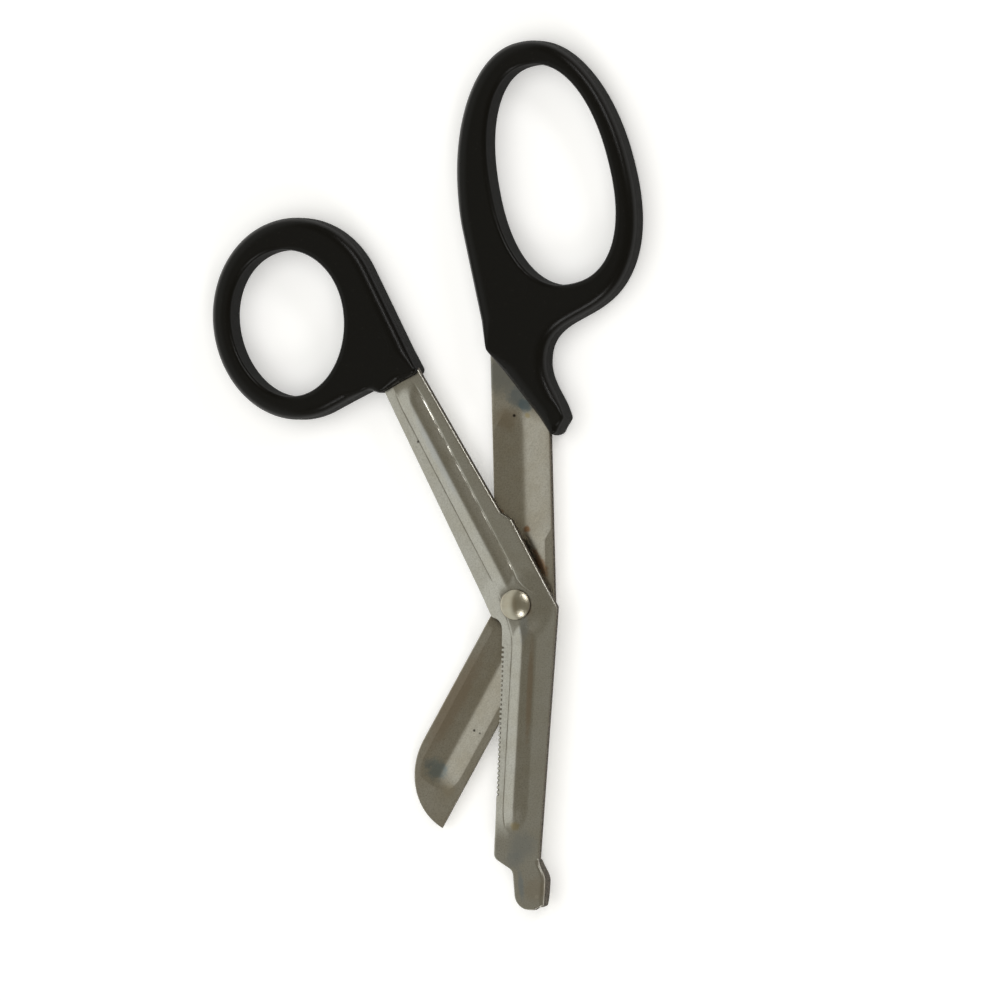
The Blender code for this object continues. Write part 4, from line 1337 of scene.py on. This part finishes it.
@dataclass
class Handle:
    """A moulded finger loop with rounded edges."""

    arm: Arm
    hole: Oval
    ring: Oval
    fillet: float = 0.0026
    hole_fillet: float = 0.0012
    back_share: float = 0.5
    support: float = 0.00006
    margin: float = 0.000015
    sleeve_radius: float = 0.0011
    fillet_steps: int = 9
    smoothness: int = 260
    spacing: float = 0.00025
    corner_share: float = 0.9
    corner_growth: float = 0.35
    wall_shares: tuple[float, ...] = (0.3, 0.5, 0.65)
    smooth_angle: float = 40.0

    def outline(self) -> np.ndarray:
        """Give the handle's outline in the shank's frame."""
        raise NotImplementedError

    def corners(self) -> tuple[Corner, ...]:
        """Give the outline's small corners, near which the rims get narrower."""
        raise NotImplementedError

    def fillets(self, outline: np.ndarray) -> np.ndarray:
        """Give the radius of the outer rims at each point of the outline."""
        hole = self.hole.points(self.smoothness)
        band = np.linalg.norm(outline[:, None] - hole[None], axis=2).min(axis=1)
        radii = np.minimum(self.fillet, band - self.hole_fillet - 3 * self.support)
        for point, radius in self.corners():
            away = np.linalg.norm(outline - np.array(point), axis=1)
            room = self.corner_share * radius + self.corner_growth * np.clip(away - radius, 0, None)
            radii = np.minimum(radii, room)
        return radii

    def swell(self, outline: np.ndarray) -> np.ndarray:
        """Give how far the wall bulges at half its height, at each point of the outline."""
        return np.zeros(len(outline))

    def rings(self, outline: np.ndarray, fillet: np.ndarray, swell: np.ndarray, inward: int) -> np.ndarray:
        """Lay the rings of a side wall with a rounded rim at each end.

        Args:
            outline: The wall's evenly spaced points, counter-clockwise.
            fillet: The radius of the front rim at each point.
            swell: How far the wall bulges at half its height, at each point.
            inward: 1 for an outer wall and -1 for the wall of a hole.

        Returns:
            Points by ring, from the back face to the front face.
        """
        tangent = np.roll(outline, -1, axis=0) - np.roll(outline, 1, axis=0)
        tangent /= np.linalg.norm(tangent, axis=1)[:, None]
        normal = inward * np.column_stack((-tangent[:, 1], tangent[:, 0]))
        quarter = quarter_turn(self.fillet_steps + 1)
        rims = []
        for radius in (fillet * self.back_share, fillet):
            rim = [(radius + self.support, radius * 0)]
            rims.append(rim + [(radius * shrunk, radius * grown) for grown, shrunk in quarter])
        rows = rims[0] + [(fillet * 0, fillet * 0 + HANDLE_THICKNESS * share) for share in self.wall_shares]
        rows += [(offset, HANDLE_THICKNESS - height) for offset, height in reversed(rims[1])]
        rings = []
        for offset, height in rows:
            bulge = swell * (1 - (2 * height / HANDLE_THICKNESS - 1) ** 2)
            place = self.arm.world(outline + normal * (offset + self.margin - bulge)[:, None])
            rings.append(np.column_stack((place, height)))
        return np.array(rings)

    def cap(self, piece: bpy.types.Object, height: float) -> None:
        """Fill the flat face between the open rims at a height."""
        bpy.ops.object.mode_set(mode="EDIT")
        bpy.ops.mesh.select_mode(type="EDGE")
        bpy.ops.mesh.select_non_manifold(extend=False, use_wire=False, use_multi_face=False,
                                         use_non_contiguous=False, use_verts=False)
        bpy.ops.object.mode_set(mode="OBJECT")
        points = piece.data.vertices
        for edge in piece.data.edges:
            level = all(abs(points[index].co.z - height) < LEVEL_TOLERANCE for index in edge.vertices)
            edge.select = edge.select and level
        bpy.ops.object.mode_set(mode="EDIT")
        bpy.ops.mesh.fill(use_beauty=True)
        bpy.ops.object.mode_set(mode="OBJECT")

    def build(self, name: str, node: str) -> bpy.types.Object:
        """Make the handle and let it stand for its CAD node.

        Args:
            name: The piece's name.
            node: The CAD node that it replaces.

        Returns:
            The finished piece.
        """
        hole = resampled(self.hole.points(self.smoothness), self.spacing)
        outer = resampled(self.outline(), self.spacing)
        rim = np.full(len(hole), self.hole_fillet)
        inner = tube(f"{name}_hole", self.rings(hole, rim, rim * 0, -1))
        piece = tube(name, self.rings(outer, self.fillets(outer), self.swell(outer), 1))
        inner.select_set(True)
        bpy.ops.object.join()
        for height in (0.0, HANDLE_THICKNESS):
            self.cap(piece, height)
        face_outward()
        shade(piece, self.smooth_angle)
        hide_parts(node)
        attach(piece, self.arm.body)
        return piece


@dataclass
class ThumbHandle(Handle):
    """The small loop with a square sleeve."""

    mouth: float = 0.0532
    sleeve_left: float = 0.0046
    sleeve_right: float = 0.00475
    heel: float = 0.0019
    heel_radius: float = 0.0014

    def corners(self) -> tuple[Corner, ...]:
        """Give the sleeve's heel and its two corners."""
        heel = (-self.sleeve_left - self.heel, self.mouth + self.heel)
        left, right = (-self.sleeve_left, self.mouth), (self.sleeve_right, self.mouth)
        return (heel, self.heel_radius), (left, self.sleeve_radius), (right, self.sleeve_radius)

    def outline(self) -> np.ndarray:
        """Give the handle's outline in the shank's frame."""
        ring = self.ring.points(2 * self.smoothness)
        heel, _, right = [point for point, _ in self.corners()]
        arc = arc_between(ring, tangent_index(ring, right, 1), tangent_index(ring, heel, -1))
        return rounded_outline([*[(point, 0) for point in arc], *self.corners()])


@dataclass
class FingerHandle(Handle):
    """The large loop with its web, nub and slanted sleeve."""

    mouth_left: Point = (-0.0050, 0.0539)
    mouth_right: Point = (0.0093, 0.0349)
    waist: Point = (0.0079, 0.0507)
    nub: Point = (0.0119, 0.0391)
    left_radius: float = 0.0008
    web_angle: float = -48.0
    tip_swell: float = 0.0004
    tip_reach: float = 0.0020

    def swell(self, outline: np.ndarray) -> np.ndarray:
        """Give how far the nub's tip bulges at half its height."""
        away = np.linalg.norm(outline - np.array(self.mouth_right), axis=1)
        return self.tip_swell * np.exp(-((away / self.tip_reach) ** 2))

    def corners(self) -> tuple[Corner, ...]:
        """Give the sleeve's two corners and the nub's."""
        return ((self.mouth_left, self.left_radius), (self.mouth_right, self.sleeve_radius),
                (self.nub, self.sleeve_radius))

    def outline(self) -> np.ndarray:
        """Give the handle's outline in the shank's frame."""
        ring = self.ring.points(2 * self.smoothness)
        angles = np.arctan2(ring[:, 1] - self.ring.y, ring[:, 0] - self.ring.x)
        first = int(np.argmin(np.abs(angles - math.radians(self.web_angle))))
        arc = arc_between(ring, first, tangent_index(ring, self.mouth_left, -1))
        waist, nub, down = Vector(self.waist), Vector(self.nub), Vector((0.0, -1.0))
        start = Vector(arc[0])
        leaving = (start - Vector(arc[1])).normalized()
        web_span = (start - waist).length
        flare_span = (nub - waist).length
        slant = (nub - waist + down * flare_span * 0.1).normalized()
        nub_side = nub - slant * 2 * self.sleeve_radius
        web = bezier(start, start + leaving * web_span * 0.5, waist - down * web_span * 0.42, waist, 40)
        flare_pull = waist + down * flare_span * 0.3
        flare = bezier(waist, flare_pull, nub_side - slant * flare_span * 0.25, nub_side, 20)
        corners: list[Corner] = [(point, 0) for point in arc]
        corners += [*self.corners(), (tuple(nub_side), 0)]
        corners += [(point, 0) for point in reversed(flare)]
        corners += [(self.waist, 0)]
        corners += [(point, 0) for point in reversed(web)]
        return rounded_outline(corners)


# Rivet


@dataclass
class Rivet:
    """The rivet through both blades: a domed head, a shank and a peened tail."""

    body: str
    radius: float = 0.0022
    head_radius: float = 0.0033
    head_height: float = 0.0015
    rim_share: float = 0.15
    rim_round: float = 0.00012
    tail_radius: float = 0.0027
    tail_height: float = 0.0006
    tail_rings: int = 9
    crown_rings: int = 22
    crown_share: float = 0.985
    shank_inset: float = 0.00001
    sides: int = 96
    pole: float = 0.0001
    smooth_angle: float = 40.0

    def profile(self) -> np.ndarray:
        """Give the radius and height of each ring, from the tail to the head."""
        rows = []
        for angle in np.radians(np.linspace(0, 90, self.tail_rings))[1:]:
            height = RIVET_BACK - self.tail_height * math.sqrt(max(0.0, math.cos(angle)))
            rows.append((self.tail_radius * math.sin(angle), height))
        rows += [(self.radius, RIVET_BACK + self.shank_inset), (self.radius, RIVET_SEAT - self.shank_inset)]
        rim_top = RIVET_SEAT + self.head_height * self.rim_share
        rise = self.head_height * (1 - self.rim_share)
        sphere = (self.head_radius**2 + rise**2) / (2 * rise)
        widest = math.asin(self.head_radius / sphere)
        crown = RIVET_SEAT + self.head_height
        for turn in np.radians((-90, -45, 0)):
            rows.append((self.head_radius - self.rim_round * (1 - math.cos(turn)),
                         RIVET_SEAT + self.rim_round * (1 + math.sin(turn))))
        rows.append((self.head_radius, rim_top - self.rim_round / 2))
        for angle in widest * np.linspace(self.crown_share, 0, self.crown_rings)[:-1]:
            rows.append((sphere * math.sin(angle), crown - sphere * (1 - math.cos(angle))))
        return np.array(rows)

    def build(self, name: str, node: str) -> bpy.types.Object:
        """Make the rivet and let it stand for its CAD node.

        Args:
            name: The piece's name.
            node: The CAD node that it replaces.

        Returns:
            The finished piece.
        """
        rows = self.profile()
        deselect_all()
        bpy.ops.mesh.primitive_uv_sphere_add(segments=self.sides, ring_count=len(rows) + 1, radius=1)
        piece = bpy.context.object
        piece.name = name
        piece.data.name = name
        for vertex in piece.data.vertices:
            across = math.hypot(vertex.co.x, vertex.co.y)
            turn = math.atan2(vertex.co.y, vertex.co.x)
            place = (math.asin(max(-1.0, min(1.0, vertex.co.z))) / math.pi + 0.5) * (len(rows) + 1)
            index = round(place) - 1
            if across < self.pole:
                top = vertex.co.z > 0
                radius, height = 0.0, RIVET_SEAT + self.head_height if top else RIVET_BACK - self.tail_height
            else:
                radius, height = rows[index]
            vertex.co = (PIVOT[0] + radius * math.cos(turn), PIVOT[1] + radius * math.sin(turn), height)
        shade(piece, self.smooth_angle)
        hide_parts(node)
        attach(piece, self.body)
        return piece


# Stage


@dataclass(frozen=True)
class Lamp:
    """One soft oval lamp that looks at the scissors.

    Its angle counts from straight above and its azimuth counter-clockwise from
    +X, in degrees. A radiance of 1 is white.
    """

    name: str
    angle: float
    azimuth: float
    distance: float
    size: tuple[float, float]
    radiance: float
    mirrored: bool = True

    def hang(self) -> None:
        """Hang the lamp in the scene."""
        tilt, turn = math.radians(self.angle), math.radians(self.azimuth)
        way = Vector((math.sin(tilt) * math.cos(turn), math.sin(tilt) * math.sin(turn), math.cos(tilt)))
        data = bpy.data.lights.new(self.name, "AREA")
        data.shape = "ELLIPSE"
        data.size, data.size_y = self.size
        data.energy = math.pi**2 / 4 * self.size[0] * self.size[1] * self.radiance
        lamp = bpy.data.objects.new(self.name, data)
        lamp.location = way * self.distance
        lamp.rotation_euler = way.to_track_quat("Z", "Y").to_euler()
        lamp.visible_camera = False
        lamp.visible_glossy = self.mirrored
        bpy.context.scene.collection.objects.link(lamp)


SKY_DARK = (0.205, 0.19, 0.15)
SKY_PALE = (0.74, 0.745, 0.705)


@dataclass(frozen=True)
class Studio:
    """The pale floor, the soft light and the camera.

    The sky's colours stand against how far a direction leans to the right, in
    degrees from straight up.
    """

    tilt: float = 15.0
    aim: tuple[float, float, float] = (0.0149, -0.0054, 0.0)
    lens: float = 900.0
    sensor_width: float = 36.0
    frame_width: float = 0.2112
    clip_start: float = 0.01
    floor_size: float = 6.0
    floor_colour: Colour = (0.93, 0.93, 0.93)
    floor_roughness: float = 0.9
    glow: float = 0.2
    lamps: tuple[Lamp, ...] = (
        Lamp("upper_window", 59, 45, 0.9, (0.58, 0.15), 6.5),
        Lamp("lower_window", 53, -68, 0.9, (0.34, 0.28), 5.5),
        Lamp("fill", 0, 0, 1.2, (1.8, 1.8), 1.3, mirrored=False),
    )
    sky: tuple[tuple[float, Colour], ...] = (
        (-90, SKY_PALE), (-80, (0.48, 0.48, 0.46)), (-68, SKY_PALE), (-32, SKY_PALE),
        (-18, SKY_DARK), (60, SKY_DARK), (90, (0.30, 0.27, 0.22)),
    )

    def floor(self) -> None:
        """Lay the pale floor."""
        deselect_all()
        bpy.ops.mesh.primitive_plane_add(size=self.floor_size, location=(0, 0, 0))
        plane = bpy.context.object
        plane.name = "floor"
        material, graph, shader, _ = start_material("floor_white")
        shader.inputs["Base Color"].default_value = (*self.floor_colour, 1)
        shader.inputs["Roughness"].default_value = self.floor_roughness
        shader.inputs["Specular IOR Level"].default_value = 0.0
        rays = graph.node("LightPath").outputs
        seen = rays["Is Camera Ray"]
        for kind in ("Is Glossy Ray", "Is Transmission Ray"):
            seen = graph.math("MAXIMUM", seen, rays[kind])
        graph.feed(shader.inputs["Emission Color"], (1, 1, 1, 1))
        graph.feed(shader.inputs["Emission Strength"], graph.times(seen, self.glow))
        plane.data.materials.append(material)

    def lights(self) -> None:
        """Hang the lamps and set the world's soft glow."""
        for lamp in self.lamps:
            lamp.hang()
        world = bpy.data.worlds.new("studio")
        bpy.context.scene.world = world
        world.use_nodes = True
        graph = Graph(world.node_tree)
        way = graph.node("TexCoord").outputs["Generated"]
        lean = graph.math("ARCTAN2", graph.part(way, 0), graph.part(way, 2))
        share = graph.plus(graph.math("DIVIDE", lean, math.pi), 0.5)
        stops = [((angle + 90) / 180, colour) for angle, colour in self.sky]
        graph.feed(world.node_tree.nodes["Background"].inputs["Color"], graph.bands(share, stops))

    def camera(self) -> None:
        """Stand the camera where the photograph was taken from."""
        data = bpy.data.cameras.new("camera")
        data.lens, data.sensor_width, data.clip_start = self.lens, self.sensor_width, self.clip_start
        angle = math.radians(self.tilt)
        way = Vector((math.sin(angle), 0.0, math.cos(angle)))
        camera = bpy.data.objects.new("camera", data)
        camera.location = Vector(self.aim) + way * (self.frame_width * self.lens / self.sensor_width)
        camera.rotation_euler = (0.0, angle, 0.0)
        scene = bpy.context.scene
        scene.collection.objects.link(camera)
        scene.camera = camera
        scene.view_settings.view_transform = "Standard"


@dataclass(frozen=True)
class Finishes:
    """Every finish of the scissors."""

    lower_steel: SteelFinish
    upper_steel: SteelFinish
    thumb_plastic: PlasticFinish
    finger_plastic: PlasticFinish
    rivet: RivetFinish


def choose_finishes() -> Finishes:
    """Choose the colours, stains, wear and painted shade of every piece."""
    brown = (0.42, 0.35, 0.26)
    blue = (0.19, 0.26, 0.31)
    grey = (0.40, 0.42, 0.42)
    pit = (0.03, 0.025, 0.02)
    # Rust colour, also laid as painted shadow beside the front blade's right edge
    rust_and_edge_shadow = (0.30, 0.15, 0.06)
    straw = (0.52, 0.44, 0.26)
    front_stains_and_shade = (
        # Dirt with painted shade about the foot of the rivet's head
        ColourPatch(0.0224, -0.0285, 0.0020, (0.36, 0.27, 0.19), 0.6),
        ColourPatch(-0.0014, 0.0070, 0.0004, pit, 0.8, 0.4),
        ColourPatch(0.0026, 0.0042, 0.0011, (0.50, 0.52, 0.54), 0.45, length=0.014, turn=28.0),
        # Painted shade: a brown band along the ridge's right crease on the blade
        ColourPatch(0.0230, -0.0454, 0.0008, (0.46, 0.37, 0.28), 0.7, 0.5, length=0.015, turn=-3.0),
        ColourPatch(0.0198, -0.0741, 0.0013, straw, 0.75),
        ColourPatch(0.0213, -0.0781, 0.0040, grey, 0.6),
        ColourPatch(0.0198, -0.0809, 0.0026, (0.38, 0.41, 0.43), 0.5),
        ColourPatch(0.0241, -0.0875, 0.0036, (0.47, 0.41, 0.32), 0.5),
        ColourPatch(0.0211, -0.0864, 0.0008, (0.36, 0.42, 0.47), 0.6, 0.9, length=0.0040, turn=6.0),
        ColourPatch(0.0245, -0.0889, 0.0006, (0.62, 0.58, 0.50), 0.7, 0.6),
        ColourPatch(0.0219, -0.0317, 0.0012, (0.44, 0.49, 0.54), 0.4, length=0.005, turn=-3.0),
    )
    rear_stains_and_shade = (
        ColourPatch(0.0170, 0.0215, 0.0062, (0.33, 0.34, 0.33), 0.85, 0.4),
        ColourPatch(0.0196, 0.0165, 0.0030, (0.25, 0.29, 0.32), 0.8),
        ColourPatch(0.0214, 0.0148, 0.0020, blue, 0.85),
        ColourPatch(0.0172, 0.0118, 0.0034, brown, 0.6),
        ColourPatch(0.0219, 0.0125, 0.0008, straw, 0.8),
        ColourPatch(0.0190, 0.0125, 0.00045, pit, 0.95, 0.3),
        # The next three: rust with painted shadow, along the front blade's right edge
        ColourPatch(0.0216, -0.0114, 0.0010, rust_and_edge_shadow, 0.85),
        ColourPatch(0.0247, -0.0184, 0.0011, rust_and_edge_shadow, 0.7, 1.4, length=0.0040, turn=28.0),
        ColourPatch(0.0160, -0.0078, 0.0009, rust_and_edge_shadow, 0.6),
        ColourPatch(0.0058, -0.0480, 0.0030, (0.46, 0.37, 0.28), 0.6, 0.6, length=0.016, turn=-29.0),
        ColourPatch(0.0022, -0.0622, 0.0030, (0.26, 0.33, 0.36), 0.7, 1.2),
        ColourPatch(0.0003, -0.0608, 0.0014, (0.26, 0.30, 0.32), 0.5, 1.2),
        ColourPatch(0.0102, -0.0539, 0.00040, pit, 0.9, 0.3),
        ColourPatch(0.0115, -0.0545, 0.00032, pit, 0.7, 0.3),
        ColourPatch(0.0048, -0.0665, 0.0020, (0.50, 0.44, 0.33), 0.5),
    )
    teeth = ToothRow(-3.25, 0.0092, 0.0405, 0.0010, 0.0078, 0.0536, 0.0029, 0.00195)
    lower = SteelFinish("lower_steel", (0.61, 0.60, 0.55), (0.56, 0.54, 0.47), 0.30, -3.25,
                        CutEdge.TUMBLED, front_stains_and_shade, teeth)
    upper = SteelFinish("upper_steel", (0.61, 0.585, 0.52), (0.55, 0.51, 0.425), 0.30, -29.3,
                        CutEdge.SHEARED, rear_stains_and_shade)
    black = (0.0034, 0.0031, 0.0023)
    scuff = (0.012, 0.011, 0.009)
    thumb = PlasticFinish("thumb_plastic", black, scuff, 0.29, (-0.0118, 0.0262))
    finger = PlasticFinish("finger_plastic", black, scuff, 0.29, (0.0185, 0.0400))
    rivet = RivetFinish("rivet_steel", (0.60, 0.575, 0.48), (0.48, 0.42, 0.31), 0.31)
    return Finishes(lower, upper, thumb, finger, rivet)


def report(piece: bpy.types.Object) -> None:
    """Log a piece's name and size."""
    size = [round(value * 1000, 1) for value in piece.dimensions]
    LOG.info("%s: %s mm, %d faces", piece.name, size, len(piece.data.polygons))


def dress(piece: bpy.types.Object, material: bpy.types.Material) -> None:
    """Give a piece its one material."""
    piece.data.materials.clear()
    piece.data.materials.append(material)


def main() -> None:
    """Build the scissors piece by piece and light them."""
    for build_group in (patch_group, rub_group, wear_group, grain_group):
        build_group()
    finishes = choose_finishes()
    lower_arm = Arm("lower_arm", 28.5, 31.75)
    upper_arm = Arm("upper_arm", 1.45, 30.75)
    crease = ((-0.0520, 0.0), (-0.0500, 1.0), (-0.0370, 0.85), (-0.0190, 0.75),
              (-0.0170, 0.65), (-0.0130, 0.65), (-0.0110, 1.1), (-0.0024, 0.8), (-0.0014, 0.0))
    flare = ((-0.0058, 0.0), (-0.0045, 0.0005), (-0.0033, 0.0013), (-0.0022, 0.0026))
    lower_ridge = Ridge(0.0003, 0.0020, 0.0022, 0.0025, 0.0024, 0.0525, 0.0480, (-0.009, 0.009),
                        crest=0.38, rise_length=0.0042, taper=0.0060, end_power=4.0, left_groove=0.75,
                        crease=crease, flare=flare)
    upper_ridge = Ridge(0.00135, 0.0022, 0.0026, 0.0061, 0.0046, 0.0425, 0.0425, (-0.0160, -0.0135),
                        crest=0.08, end_power=2.0, left_groove=0.0)
    lower = LowerBlade(lower_arm, lower_ridge, Side.FRONT, LOWER_INNER_FACE, 0.0532)
    upper = UpperBlade(upper_arm, upper_ridge, Side.BACK, UPPER_INNER_FACE, 0.0543)
    thumb_hole = Oval(-0.0153, 0.0759, 0.01545, 0.0122, -21.2, 0.054)
    thumb_ring = Oval(-0.0135, 0.0760, 0.02135, 0.0184, -25.9, 0.017)
    finger_hole = Oval(0.0098, 0.0904, 0.02345, 0.01295, 11.0, -0.065, 2.24)
    finger_ring = Oval(0.00818, 0.0893, 0.0296, 0.01905, 7.55, -0.132, 2.19)
    thumb = ThumbHandle(lower_arm, thumb_hole, thumb_ring)
    finger = FingerHandle(upper_arm, finger_hole, finger_ring)
    pieces = (
        (upper, "rear_blade", "upper_blade", finishes.upper_steel),
        (lower, "front_blade", "lower_blade", finishes.lower_steel),
        (thumb, "thumb_loop", "thumb_handle", finishes.thumb_plastic),
        (finger, "finger_loop", "finger_handle", finishes.finger_plastic),
        (Rivet("upper_arm"), "domed_rivet", "pivot_rivet", finishes.rivet),
    )
    for maker, name, node, finish in pieces:
        piece = maker.build(name, node)
        dress(piece, finish.build())
        report(piece)
    studio = Studio()
    studio.floor()
    studio.lights()
    studio.camera()


if __name__ == "__main__":
    logging.basicConfig(level=logging.INFO)
    main()
